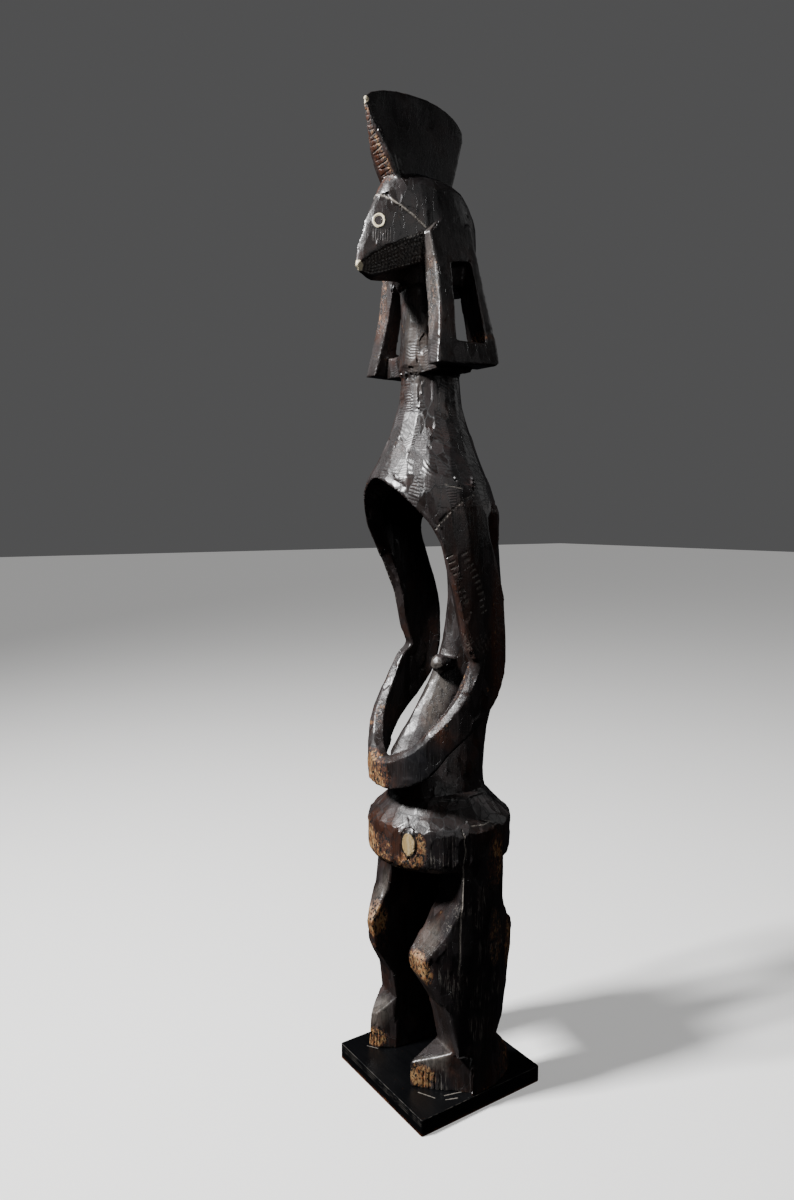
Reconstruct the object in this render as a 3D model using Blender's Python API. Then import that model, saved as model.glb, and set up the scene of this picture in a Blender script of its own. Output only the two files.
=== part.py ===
"""A tall standing figure carved from one log of dark wood, on its square black base plate.

The figure faces -Y and +X is its left side. The origin is the centre of the plate's underside.
The figure's form is drawn in carving units: heights are shares of its own height, measured up from
its soles, and depths and widths are shares of the log's radius. Its body is turned a little on the
plate, and its head a little the other way.
"""
import math

import bmesh
import bpy
from mathutils import Matrix, Vector

# Driving dimensions, in metres
FIGURE_HEIGHT = 1.148
LOG_RADIUS = 0.0875
PLATE_OVERHANG = 0.002
PLATE_THICKNESS = 0.020
PLATE_CORNER_ROUNDING = 0.0025
PLATE_EDGE_ROUNDING = 0.0008
PLATE_CORNER_SEGMENT_COUNT = 4
PLATE_EDGE_SEGMENT_COUNT = 2
SEAT_GAP = 0.0003

# Turns about the upright axis, in degrees
BODY_TURN = -6.0
HEAD_TURN = 2.5

# Height and log radius of the figure as drawn below, in carving units, and what brings the drawn
# form to real size, up the log and across it
DRAWN_HEIGHT = 1148.0
DRAWN_LOG_RADIUS = 87.5
UNIT_UP = FIGURE_HEIGHT / DRAWN_HEIGHT
UNIT_ACROSS = LOG_RADIUS / DRAWN_LOG_RADIUS

# Fineness of the drawn forms: points round a section, and rise between sections in carving units
RING_POINT_COUNT = 32
LEG_POINT_COUNT = 40
COLLAR_POINT_COUNT = 24
NECK_POINT_COUNT = 16
TRUNK_STEP = 14.0
SHELL_STEP = 18.0
LEG_STEP = 20.0
SKULL_STEP = 12.0
FACE_STEP = 9.0
CREST_STEP = 10.0
MERGE_DISTANCE = 0.00005

# Trunk from the hips up into the shoulders, with the belly's keel reaching forward to the hands:
# height, front, back, half width, depth of the widest place, sharpness of the keel
TRUNK = [
    (322, -58, 56, 52, 0, 1.0),
    (350, -60, 58, 51, 0, 1.0),
    (365, -61, 56, 47, 2, 1.0),
    (380, -66, 57, 44, 6, 1.1),
    (400, -66, 60, 40, 10, 1.2),
    (420, -54, 64, 36, 14, 1.3),
    (440, -40, 70, 33, 22, 1.35),
    (460, -28, 76, 30, 30, 1.35),
    (489, -11, 84, 28, 40, 1.25),
    (525, 4, 87, 27, 48, 1.15),
    (580, 14, 86, 27, 50, 1.0),
    (620, 13, 81, 30, 47, 1.0),
    (648, 10, 76, 37, 42, 1.0),
    (668, 6, 71, 52, 32, 1.0),
    (684, 0, 65.5, 66, 20, 1.0),
    (700, -10, 59, 70, 4, 1.0),
    (728, -30, 44, 56, -10, 1.0),
]

# Outside of the shoulders and arms: the log's own surface, drawn in above to a bell and a neck:
# height, front, back, half width, depth of the widest place, sharpness of the keel
SHOULDERS = [
    (364, -88, 88, 88, 0, 1.0),
    (520, -88, 88, 88, 0, 1.0),
    (580, -88, 84, 88, -2, 1.0),
    (620, -88, 80, 88, -4, 1.0),
    (660, -89, 73, 87, -7, 1.0),
    (684, -90, 65, 85, -12, 1.0),
    (708, -91, 56, 80, -17, 1.0),
    (724, -88, 50, 74, -18, 1.0),
    (742, -78, 43, 64, -17, 1.0),
    (771, -64, 33, 51, -15, 1.0),
    (806, -53, 23, 39, -15, 1.0),
    (846, -48, 19, 33, -15, 1.0),
]

# Inside of the arms, up to the ceiling under the shoulders, in the same terms
CAVITY = [
    (350, -69, 69, 69, 0, 1.0),
    (640, -69, 69, 69, 0, 1.0),
    (680, -69, 56, 67, -6, 1.0),
    (702, -66, 42, 58, -12, 1.0),
    (718, -52, 24, 44, -14, 1.0),
]

# Edges of the arms on the log's face: height, and angle from the front on the right and on the
# left. The front opening is bounded by the arms' front edges, the elbows and the forearms' tops.
FRONT_OPENING = [
    (398, 3, 3), (404, 13, 17), (418, 29, 36), (435, 38, 48), (452, 49, 60), (473, 63, 72),
    (490, 71, 79), (505, 78, 84), (516, 88, 87), (521, 89, 84), (543, 83, 78), (588, 76, 71),
    (624, 64, 64), (650, 50, 59), (676, 34, 49), (700, 26, 33), (710, 20, 25), (719, 11, 13),
    (724, 3, 3),
]
REAR_OPENING = [
    (344, 4, 4), (364, 16, 16), (372, 35, 35), (386, 52, 52), (412, 67, 67), (434, 83, 83),
    (452, 97, 97), (482, 113, 113), (510, 120, 120), (540, 121, 121), (585, 118, 118),
    (630, 108, 108), (660, 101, 101), (678, 101, 101), (692, 112, 112), (702, 134, 134),
]
OPENING_DEPTHS = (38.0, 60.0, 74.0, 86.0, 104.0)
OPENING_COLUMN_COUNT = 14
OPENING_STEP = 8.0

# The hip disc and its sloping top, between the legs and the trunk: height and radius
HIP_DISC = [(270, 80), (277, 86), (281, 87.5), (317, 87.5), (322, 85), (339, 67), (351, 56), (356, 46)]

NAVEL_CENTRE = (13, -7, 505)
NAVEL_RADIUS = 12.0
NAVEL_STEM_RADIUS = 7.0
NAVEL_STEM_ROUNDING = 2.8

# Legs, as side profiles of depth and height cut through to the log's face
LEG_BACK = [
    (68, 0), (69, 16), (58, 32), (47, 48), (34, 61), (47, 79), (53, 99), (60, 118), (66, 138),
    (77, 164), (77, 184), (55, 203), (45, 229), (46, 276),
]
LEFT_LEG_FRONT = [
    (-18, 276), (-20, 232), (-38, 198), (-61, 166), (-59, 146), (-32, 102), (-21, 48), (-64, 29),
    (-66, 0),
]
RIGHT_LEG_FRONT = [
    (-44, 276), (-53, 217), (-76, 176), (-70, 142), (-46, 102), (-41, 67), (-80, 31), (-84, 0),
]
LEFT_LEG_INNER = 32.0
RIGHT_LEG_INNER = -36.0
LEG_LOG = [(0, 90), (60, 87), (140, 88), (175, 90), (210, 88), (276, 86.5)]
# Outlines of the feet seen from above, outside which the toes are cut away, and how far up
LEFT_TOE_CUT = [(32, -21), (38, -63), (60, -38), (84, -5), (150, -30), (90, -150), (0, -150), (0, -21)]
RIGHT_TOE_CUT = [(-36, -41), (-47, -62), (-64, -73), (-110, -60), (-110, -150), (0, -150), (0, -41)]
LEFT_TOE_CUT_TOP = 47.0
RIGHT_TOE_CUT_TOP = 66.0

# Neck and collar, turned forms about an axis carried forward of the log's: height and radius
NECK_AXIS = (0.0, -23.5)
NECK = [(850, 31), (880, 30), (915, 29), (948, 30)]
COLLAR_AXIS = (0.0, -15.5)
COLLAR = [(841, 34), (843, 36), (862, 36), (866, 33)]
YOKE_HALF_WIDTH = 52.0
YOKE_DEPTH = (-46.0, 2.0)
YOKE_HEIGHTS = (842.5, 867.0)

# Skull, in the trunk's terms
SKULL = [
    (939, -58, 34, 37, -10, 1.0),
    (967, -62, 39, 42, -10, 1.0),
    (995, -80, 41, 43, -12, 1.0),
    (1018, -91, 39, 40, -14, 1.0),
    (1034, -91, 32, 36, -18, 1.0),
    (1044, -86, 25, 33, -22, 1.0),
    (1051, -81, 16, 28, -26, 1.0),
    (1055, -75, 8, 22, -30, 1.0),
    (1058, -66, 0, 14, -30, 1.0),
]

# Face: height, depth of the ridge, half width, depth where it meets the skull
FACE = [
    (938, -97, 35, -50), (942, -107, 36, -50), (946, -117, 37, -49), (952, -121.5, 38, -48),
    (961, -120.5, 38, -48), (986, -113.5, 38, -48), (1009, -105.5, 37, -50),
    (1034, -92, 31, -55), (1042, -86, 26, -60),
]
FACE_CURVE = 1.4
FACE_POINT_COUNT = 12
# Where a face section closes inside the skull, as shares of its half width
FACE_ROOT_WIDTH = 0.5
FACE_ROOT_DEPTH = 0.6
# Flat cuts of the jaw, each through three points: its side, from the mouth to the ear frame,
# and its underside
JAW_SIDE = [(3, -118, 955), (37, -51.5, 990.6), (28, -54, 960.4)]
JAW_UNDERSIDE = [(8, -104.8, 942.7), (28, -54, 960.4), (0, -60, 943)]

# Ear frames: outline and hole as depth and height, with the outer face's spread
FRAME_OUTLINE = [
    (-61, 846), (15, 847.5), (20, 852), (20.5, 866), (15, 923), (10.5, 985), (9, 1008), (-35, 1008),
    (-54, 990), (-49.5, 956), (-50, 914), (-55, 880),
]
FRAME_HOLE = [(-33, 872.5), (5.5, 872.5), (3, 920), (0, 964), (-28, 959)]
FRAME_TOP_SPREAD = 41.0
FRAME_FRONT_SPREAD = 69.0
FRAME_BACK_SPREAD = 80.0
FRAME_FRONT_THICKNESS = 20.0
FRAME_BACK_THICKNESS = 34.0

# Crest: height, front, back, half thickness in front, half thickness behind
CREST = [
    (1040, -70, 2, 17, 12), (1052, -77, 5, 17, 12), (1070, -87, 11, 16, 11),
    (1091, -96.5, 18.5, 12, 9), (1110, -103.5, 25, 8, 6.5), (1122, -107.5, 27, 5, 5),
    (1130, -109, 23, 3.5, 4), (1137, -100, 15.5, 3, 3), (1142.5, -86, 4, 3, 3),
    (1146, -68, -8, 2.6, 2.6), (1148, -52, -25, 2.4, 2.4),
]
CREST_COLUMN_COUNT = 6

WOOD_COLOUR = (0.035, 0.022, 0.018, 1.0)
WOOD_ROUGHNESS = 0.42
PLATE_COLOUR = (0.012, 0.011, 0.012, 1.0)
PLATE_ROUGHNESS = 0.35


def clear_scene():
    """Remove every object of the open scene."""
    for item in list(bpy.data.objects):
        bpy.data.objects.remove(item)


def wood_material(name, colour, roughness):
    """A plain wood finish of one colour and roughness."""
    material = bpy.data.materials.new(name)
    material.use_nodes = True
    shader = material.node_tree.nodes["Principled BSDF"]
    shader.inputs["Base Color"].default_value = colour
    shader.inputs["Roughness"].default_value = roughness
    shader.inputs["Metallic"].default_value = 0.0
    return material


def smooth_rows(keys, step):
    """Rows through the keys along a smooth curve, one about every step of height."""
    rows = []
    for index in range(len(keys) - 1):
        before = keys[max(index - 1, 0)]
        start = keys[index]
        end = keys[index + 1]
        after = keys[min(index + 2, len(keys) - 1)]
        span = end[0] - start[0]
        count = max(1, round(span / step))
        for part in range(count):
            t = part / count
            row = [start[0] + span * t]
            for a, b, c, d in zip(before[1:], start[1:], end[1:], after[1:]):
                rise_in = span * (c - a) / (end[0] - before[0])
                rise_out = span * (d - b) / (after[0] - start[0])
                row.append(
                    b * (2 * t**3 - 3 * t**2 + 1) + rise_in * (t**3 - 2 * t**2 + t)
                    + c * (3 * t**2 - 2 * t**3) + rise_out * (t**3 - t**2)
                )
            rows.append(tuple(row))
    rows.append(tuple(keys[-1]))
    return rows


def body_ring(row, count=RING_POINT_COUNT):
    """Outline of a body section: round behind, drawn to a keel in front."""
    height, front, back, half_width, widest, keel = row
    points = []
    for index in range(count):
        angle = 2 * math.pi * (index + 0.5) / count
        across = math.sin(angle)
        ahead = math.cos(angle)
        if ahead > 0:
            x = half_width * math.copysign(abs(across) ** keel, across)
            y = widest - (widest - front) * ahead
        else:
            x = half_width * across
            y = widest - (back - widest) * ahead
        points.append(Vector((x, y, height)))
    return points


def round_ring(height, radius, centre=(0.0, 0.0), count=RING_POINT_COUNT):
    """Outline of a turned section about an upright axis."""
    points = []
    for index in range(count):
        angle = 2 * math.pi * (index + 0.5) / count
        points.append(Vector((
            centre[0] + radius * math.sin(angle), centre[1] - radius * math.cos(angle), height,
        )))
    return points


def face_ring(row):
    """Outline of a face section: a lens with its ridge ahead, closed inside the skull."""
    height, ridge, half_width, root = row
    points = []
    for index in range(FACE_POINT_COUNT + 1):
        share = 2 * index / FACE_POINT_COUNT - 1
        y = ridge + (root - ridge) * abs(share) ** FACE_CURVE
        points.append(Vector((half_width * share, y, height)))
    for side in (1, -1):
        x = side * half_width * FACE_ROOT_WIDTH
        points.append(Vector((x, root + half_width * FACE_ROOT_DEPTH, height)))
    return points


def crest_ring(row):
    """Outline of a crest section: a flat front edge, thinning towards the back."""
    height, front, back, front_half, back_half = row
    left = []
    for index in range(CREST_COLUMN_COUNT + 1):
        share = index / CREST_COLUMN_COUNT
        left.append((front_half + (back_half - front_half) * share, front + (back - front) * share))
    right = [(-x, y) for x, y in reversed(left)]
    return [Vector((x, y, height)) for x, y in left + right]


def loft(rings):
    """A closed skin through the rings, each drawn out of the one below it."""
    mesh = bmesh.new()
    bmesh.ops.create_circle(mesh, cap_ends=True, segments=len(rings[0]), radius=1.0)
    mesh.verts.ensure_lookup_table()
    edge = list(mesh.verts)
    for vert, point in zip(edge, rings[0]):
        vert.co = point
    mesh.faces.ensure_lookup_table()
    cap = mesh.faces[0]
    for ring in rings[1:]:
        cap = bmesh.ops.extrude_discrete_faces(mesh, faces=[cap])["faces"][0]
        twins = {tuple(vert.co): vert for vert in cap.verts}
        edge = [twins[tuple(vert.co)] for vert in edge]
        for vert, point in zip(edge, ring):
            vert.co = point
    bmesh.ops.holes_fill(mesh, edges=[item for item in mesh.edges if item.is_boundary], sides=0)
    return mesh


def prism(outline, start, end):
    """A side outline of depth and height drawn out across the figure."""
    mesh = bmesh.new()
    mesh.faces.new([mesh.verts.new((start, y, z)) for y, z in outline])
    drawn = bmesh.ops.extrude_face_region(mesh, geom=mesh.faces[:])["geom"]
    verts = [item for item in drawn if isinstance(item, bmesh.types.BMVert)]
    bmesh.ops.translate(mesh, verts=verts, vec=(end - start, 0, 0))
    return mesh


def block(low, high):
    """A box between two corners."""
    mesh = bmesh.new()
    bmesh.ops.create_cube(mesh, size=1.0)
    size = [b - a for a, b in zip(low, high)]
    middle = [(a + b) / 2 for a, b in zip(low, high)]
    bmesh.ops.scale(mesh, vec=size, verts=mesh.verts)
    bmesh.ops.translate(mesh, vec=middle, verts=mesh.verts)
    return mesh


def ball(centre, radius):
    """A round knob."""
    mesh = bmesh.new()
    bmesh.ops.create_icosphere(mesh, subdivisions=2, radius=radius)
    bmesh.ops.translate(mesh, vec=centre, verts=mesh.verts)
    return mesh


def plan_prism(outline, low, high):
    """A plan outline drawn up between two heights."""
    mesh = bmesh.new()
    mesh.faces.new([mesh.verts.new((x, y, low)) for x, y in outline])
    drawn = bmesh.ops.extrude_face_region(mesh, geom=mesh.faces[:])["geom"]
    verts = [item for item in drawn if isinstance(item, bmesh.types.BMVert)]
    bmesh.ops.translate(mesh, verts=verts, vec=(0, 0, high - low))
    return mesh


def opening(edges, behind):
    """A cutter for an opening on the log's face, cut straight towards the log's axis.

    The edges hold the angle from the front of its right and its left side at each height. Where
    behind is true the opening lies behind those sides, and otherwise in front of them.
    """
    rows = smooth_rows(edges, OPENING_STEP)
    mesh = bmesh.new()
    bmesh.ops.create_grid(mesh, x_segments=OPENING_COLUMN_COUNT, y_segments=len(rows) - 1, size=1.0)
    place = []
    for vert in mesh.verts:
        height, right, left = rows[round((vert.co.y + 1) / 2 * (len(rows) - 1))]
        edge = left if vert.co.x > 0 else right
        angle = vert.co.x * edge
        if behind:
            angle = 180 - vert.co.x * (180 - edge)
        place.append((vert, math.radians(angle), height))
    faces = mesh.faces[:]
    for depth in OPENING_DEPTHS[1:]:
        drawn = bmesh.ops.extrude_face_region(mesh, geom=faces)["geom"]
        twins = {tuple(item.co): item for item in drawn if isinstance(item, bmesh.types.BMVert)}
        grown = [(twins[tuple(vert.co)], angle, height) for vert, angle, height in place]
        if depth == OPENING_DEPTHS[1]:
            put_on_log(place, OPENING_DEPTHS[0])
        else:
            bmesh.ops.delete(mesh, geom=faces, context="FACES")
        faces = [item for item in drawn if isinstance(item, bmesh.types.BMFace)]
        put_on_log(grown, depth)
        place = grown
    return mesh


def put_on_log(place, radius):
    """Move each vertex to its angle and height at this distance from the log's axis."""
    for vert, angle, height in place:
        vert.co = (radius * math.sin(angle), -radius * math.cos(angle), height)


def solid(name, mesh, turn):
    """An object from a drawn mesh: turned, brought to real size and set on the plate."""
    rotation = Matrix.Rotation(math.radians(turn), 4, "Z")
    lift = Matrix.Translation((0, 0, PLATE_THICKNESS + SEAT_GAP))
    units = Matrix.Diagonal((UNIT_ACROSS, UNIT_ACROSS, UNIT_UP, 1.0))
    bmesh.ops.transform(mesh, matrix=lift @ rotation @ units, verts=mesh.verts)
    bmesh.ops.recalc_face_normals(mesh, faces=mesh.faces)
    data = bpy.data.meshes.new(name)
    mesh.to_mesh(data)
    mesh.free()
    item = bpy.data.objects.new(name, data)
    bpy.context.scene.collection.objects.link(item)
    return item


def combine(target, tool, operation):
    """Join the tool to the target, cut it away or keep what they share; the tool goes."""
    modifier = target.modifiers.new("Carve", "BOOLEAN")
    modifier.operation = operation
    modifier.solver = "EXACT"
    modifier.object = tool
    graph = bpy.context.evaluated_depsgraph_get()
    carved = bpy.data.meshes.new_from_object(target.evaluated_get(graph))
    target.modifiers.clear()
    before = target.data
    target.data = carved
    bpy.data.meshes.remove(before)
    bpy.data.objects.remove(tool)


def trunk():
    """Hips, belly, torso and the hip disc that they stand on."""
    body = solid("trunk", loft([body_ring(row) for row in smooth_rows(TRUNK, TRUNK_STEP)]), BODY_TURN)
    disc = solid("hip_disc", loft([round_ring(*row) for row in HIP_DISC]), BODY_TURN)
    combine(body, disc, "UNION")
    return body


def shoulders_and_arms():
    """The bell of the shoulders and both arms, one shell of the log opened in front and behind."""
    shell = solid("arms", loft([body_ring(row) for row in smooth_rows(SHOULDERS, SHELL_STEP)]), BODY_TURN)
    inside = solid("inside", loft([body_ring(row) for row in smooth_rows(CAVITY, SHELL_STEP)]), BODY_TURN)
    combine(shell, inside, "DIFFERENCE")
    combine(shell, solid("front_opening", opening(FRONT_OPENING, False), BODY_TURN), "DIFFERENCE")
    combine(shell, solid("rear_opening", opening(REAR_OPENING, True), BODY_TURN), "DIFFERENCE")
    return shell


def navel():
    """The round navel knob and the stem that it stands on."""
    x, y, height = NAVEL_CENTRE
    knob = solid("navel", ball(NAVEL_CENTRE, NAVEL_RADIUS), BODY_TURN)
    stem = block(
        (x - NAVEL_STEM_RADIUS, y, height - NAVEL_STEM_RADIUS),
        (x + NAVEL_STEM_RADIUS, y + 2 * NAVEL_RADIUS, height + NAVEL_STEM_RADIUS),
    )
    bmesh.ops.bevel(
        stem, geom=stem.edges[:], offset=NAVEL_STEM_ROUNDING, offset_type="OFFSET",
        segments=1, profile=0.5, affect="EDGES",
    )
    combine(knob, solid("navel_stem", stem, BODY_TURN), "UNION")
    return knob


def leg(front, inner, toe_cut, toe_cut_top):
    """One bent leg with its foot, sawn to its side profile out of the log."""
    outer = math.copysign(2 * DRAWN_LOG_RADIUS, inner)
    limb = solid("leg", prism(front + LEG_BACK, inner, outer), BODY_TURN)
    rings = [round_ring(*row, count=LEG_POINT_COUNT) for row in smooth_rows(LEG_LOG, LEG_STEP)]
    log = solid("log", loft(rings), BODY_TURN)
    combine(limb, log, "INTERSECT")
    toes = plan_prism(toe_cut, -toe_cut_top, toe_cut_top)
    combine(limb, solid("toe_cut", toes, BODY_TURN), "DIFFERENCE")
    return limb


def neck():
    """Neck column, collar and the yoke that carries the ear frames' lower ends."""
    rings = [round_ring(*row, NECK_AXIS, NECK_POINT_COUNT) for row in NECK]
    column = solid("neck", loft(rings), HEAD_TURN)
    rings = [round_ring(*row, COLLAR_AXIS, COLLAR_POINT_COUNT) for row in COLLAR]
    collar = solid("collar", loft(rings), BODY_TURN)
    combine(column, collar, "UNION")
    yoke = block(
        (-YOKE_HALF_WIDTH, YOKE_DEPTH[0], YOKE_HEIGHTS[0]),
        (YOKE_HALF_WIDTH, YOKE_DEPTH[1], YOKE_HEIGHTS[1]),
    )
    combine(column, solid("yoke", yoke, HEAD_TURN), "UNION")
    return column


def ear_frame(side):
    """One open ear frame, spreading outwards as it comes down; side is 1 on the left, -1 right."""
    lowest = FRAME_OUTLINE[0][1]
    highest = max(z for _, z in FRAME_OUTLINE)
    front = FRAME_OUTLINE[0][0]
    back = FRAME_OUTLINE[1][0]
    mesh = prism(FRAME_OUTLINE, 0.0, 1.0)
    for vert in mesh.verts:
        drop = (highest - vert.co.z) / (highest - lowest)
        rear = (vert.co.y - front) / (back - front)
        low_spread = FRAME_FRONT_SPREAD + (FRAME_BACK_SPREAD - FRAME_FRONT_SPREAD) * rear
        spread = FRAME_TOP_SPREAD + (low_spread - FRAME_TOP_SPREAD) * drop
        thickness = FRAME_FRONT_THICKNESS + (FRAME_BACK_THICKNESS - FRAME_FRONT_THICKNESS) * rear
        vert.co.x = side * (spread - thickness * (1.0 - vert.co.x))
    frame = solid("ear_frame", mesh, HEAD_TURN)
    reach = 2 * FRAME_BACK_SPREAD
    combine(frame, solid("ear_hole", prism(FRAME_HOLE, 0.0, side * reach), HEAD_TURN), "DIFFERENCE")
    return frame


def face():
    """The narrow ridged face, with the flat cuts of the jaw running forward to the mouth."""
    mesh = loft([face_ring(row) for row in smooth_rows(FACE, FACE_STEP)])
    for side in (1, -1):
        for plane in (JAW_SIDE, JAW_UNDERSIDE):
            start, rear, low = (Vector((side * x, y, z)) for x, y, z in plane)
            outward = side * (low - start).cross(rear - start)
            cut = bmesh.ops.bisect_plane(
                mesh, geom=mesh.verts[:] + mesh.edges[:] + mesh.faces[:], dist=MERGE_DISTANCE,
                plane_co=start, plane_no=outward.normalized(), clear_outer=True,
            )["geom_cut"]
            edges = [item for item in cut if isinstance(item, bmesh.types.BMEdge)]
            bmesh.ops.holes_fill(mesh, edges=edges, sides=0)
    return solid("face", mesh, HEAD_TURN)


def head():
    """Skull, face, ear frames and crest."""
    skull = solid("skull", loft([body_ring(row) for row in smooth_rows(SKULL, SKULL_STEP)]), HEAD_TURN)
    combine(skull, face(), "UNION")
    for side in (1, -1):
        combine(skull, ear_frame(side), "UNION")
    crest = loft([crest_ring(row) for row in smooth_rows(CREST, CREST_STEP)])
    combine(skull, solid("crest", crest, HEAD_TURN), "UNION")
    return skull


def figure(material):
    """The whole carving as one body."""
    body = trunk()
    for part in (
        leg(LEFT_LEG_FRONT, LEFT_LEG_INNER, LEFT_TOE_CUT, LEFT_TOE_CUT_TOP),
        leg(RIGHT_LEG_FRONT, RIGHT_LEG_INNER, RIGHT_TOE_CUT, RIGHT_TOE_CUT_TOP),
        shoulders_and_arms(), navel(), neck(), head(),
    ):
        combine(body, part, "UNION")
    body.name = "figure"
    body.data.name = "figure"
    mesh = bmesh.new()
    mesh.from_mesh(body.data)
    bmesh.ops.remove_doubles(mesh, verts=mesh.verts, dist=MERGE_DISTANCE)
    bmesh.ops.dissolve_degenerate(mesh, edges=mesh.edges, dist=MERGE_DISTANCE)
    bmesh.ops.triangulate(mesh, faces=mesh.faces)
    mesh.to_mesh(body.data)
    mesh.free()
    body.data.materials.clear()
    body.data.materials.append(material)
    return body


def base_plate(material):
    """The square plate that the figure stands on, a little wider than the figure at its widest."""
    figure_half_width = UNIT_ACROSS * max(half_width for _, _, _, half_width, _, _ in SHOULDERS)
    side = 2 * (figure_half_width + PLATE_OVERHANG)
    mesh = bmesh.new()
    bmesh.ops.create_cube(mesh, size=1.0)
    bmesh.ops.scale(mesh, vec=(side, side, PLATE_THICKNESS), verts=mesh.verts)
    bmesh.ops.translate(mesh, vec=(0, 0, PLATE_THICKNESS / 2), verts=mesh.verts)
    upright = [edge for edge in mesh.edges if abs(edge.verts[0].co.z - edge.verts[1].co.z) > SEAT_GAP]
    bmesh.ops.bevel(
        mesh, geom=upright, offset=PLATE_CORNER_ROUNDING, offset_type="OFFSET",
        segments=PLATE_CORNER_SEGMENT_COUNT, profile=0.5, affect="EDGES",
    )
    rims = [
        edge for edge in mesh.edges
        if abs(edge.verts[0].co.z - edge.verts[1].co.z) < SEAT_GAP
        and len({round(face.normal.z) for face in edge.link_faces}) == 2
    ]
    bmesh.ops.bevel(
        mesh, geom=rims, offset=PLATE_EDGE_ROUNDING, offset_type="OFFSET",
        segments=PLATE_EDGE_SEGMENT_COUNT, profile=0.5, affect="EDGES",
    )
    data = bpy.data.meshes.new("base_plate")
    mesh.to_mesh(data)
    mesh.free()
    plate = bpy.data.objects.new("base_plate", data)
    bpy.context.scene.collection.objects.link(plate)
    plate.data.materials.append(material)
    return plate


def main():
    """Model the plate and the figure that stands on it."""
    clear_scene()
    base_plate(wood_material("black_plate", PLATE_COLOUR, PLATE_ROUGHNESS))
    figure(wood_material("dark_wood", WOOD_COLOUR, WOOD_ROUGHNESS))


main()
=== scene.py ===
"""Looks of a tall standing figure carved from one log of dark wood, on its black base plate.

Everything is in metres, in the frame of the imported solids: -Y is the front of the plate, +Z is up.
The figure's surface starts from its solid, and is then cut into facets, furrowed, scarred and worn.
"""

import logging
import math
from dataclasses import dataclass, field
from enum import Enum

import bmesh
import bpy
import numpy as np
from mathutils import Matrix, Vector
from mathutils.bvhtree import BVHTree
from mathutils.kdtree import KDTree


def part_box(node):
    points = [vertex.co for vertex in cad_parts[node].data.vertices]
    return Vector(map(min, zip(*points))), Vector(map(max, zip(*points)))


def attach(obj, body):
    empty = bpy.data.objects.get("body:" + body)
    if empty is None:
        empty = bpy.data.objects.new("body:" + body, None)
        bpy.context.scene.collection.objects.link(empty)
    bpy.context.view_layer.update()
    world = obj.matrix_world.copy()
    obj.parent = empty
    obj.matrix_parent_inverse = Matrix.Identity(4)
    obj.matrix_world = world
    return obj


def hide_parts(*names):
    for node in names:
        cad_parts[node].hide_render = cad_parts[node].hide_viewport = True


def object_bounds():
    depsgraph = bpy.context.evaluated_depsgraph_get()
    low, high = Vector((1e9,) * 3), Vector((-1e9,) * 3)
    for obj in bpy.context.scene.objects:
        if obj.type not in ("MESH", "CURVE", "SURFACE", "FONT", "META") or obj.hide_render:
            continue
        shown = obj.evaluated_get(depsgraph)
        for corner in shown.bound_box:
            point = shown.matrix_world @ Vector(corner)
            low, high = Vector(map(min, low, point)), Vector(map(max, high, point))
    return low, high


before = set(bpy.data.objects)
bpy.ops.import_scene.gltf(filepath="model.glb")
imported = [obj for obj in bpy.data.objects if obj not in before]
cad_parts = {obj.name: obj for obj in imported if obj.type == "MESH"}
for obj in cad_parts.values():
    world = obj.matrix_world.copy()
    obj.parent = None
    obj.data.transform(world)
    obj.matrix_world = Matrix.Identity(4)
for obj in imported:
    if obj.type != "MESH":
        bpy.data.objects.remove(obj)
CAD_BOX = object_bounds()

log = logging.getLogger("statue")
MM = 0.001
# Height of the figure's sole above the floor, in millimetres.
SOLE_LEVEL = 20.3
ORIGIN = (0.0, 0.0, 0.0)

Point = tuple[float, float, float]
Socket = bpy.types.NodeSocket


class Turn(Enum):
    """Turns of the figure's parts about the upright axis, in degrees."""

    PLATE = 0.0
    BODY = -6.0
    HEAD = 2.5

    @property
    def spin(self) -> Matrix:
        """The turn as a matrix."""
        return Matrix.Rotation(math.radians(self.value), 3, "Z")


class Tone(Enum):
    """Base colours of the woods and the pigment, as linear red, green and blue."""

    JET = (0.0010, 0.0011, 0.0014)
    BLACK = (0.0025, 0.0025, 0.0030)
    BLUE_BLACK = (0.0062, 0.0068, 0.0086)
    DARK = (0.0090, 0.0062, 0.0056)
    GREY = (0.0240, 0.0186, 0.0186)
    RED_BROWN = (0.0460, 0.0165, 0.0085)
    ORANGE = (0.1950, 0.0780, 0.0260)
    TAN = (0.3050, 0.1850, 0.0800)
    BONE = (0.3500, 0.2400, 0.1050)
    PALE = (0.3200, 0.2900, 0.2550)
    CREAM = (0.6200, 0.5500, 0.3900)
    FLOOR = (0.720, 0.715, 0.705)
    BACKDROP = (0.087, 0.087, 0.088)
    SURROUND = (0.010, 0.010, 0.012)


def rgba(tone: Tone) -> tuple[float, float, float, float]:
    """The tone with full opacity."""
    return (*tone.value, 1.0)


def lattice_noise(points: np.ndarray, cell: Point, seed: int) -> np.ndarray:
    """Smooth noise over space, with cells of a given size.

    Args:
        points: Positions, one row each, in metres.
        cell: Size of a noise cell along X, Y and Z, in metres.
        seed: Picks one of many unlike noises.

    Returns:
        One value from -1 to 1 for each position.
    """
    table = np.random.default_rng(seed).uniform(-1.0, 1.0, 4096)
    place = points / np.asarray(cell) + 512.0
    base = np.floor(place).astype(np.int64)
    share = place - base
    share = share * share * (3.0 - 2.0 * share)
    total = np.zeros(len(points))
    for corner in range(8):
        step = np.array([corner & 1, corner >> 1 & 1, corner >> 2 & 1])
        at = base + step
        index = (at[:, 0] * 73856093 ^ at[:, 1] * 19349663 ^ at[:, 2] * 83492791) & 4095
        weight = np.prod(np.where(step == 1, share, 1.0 - share), axis=1)
        total += weight * table[index]
    return total


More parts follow.
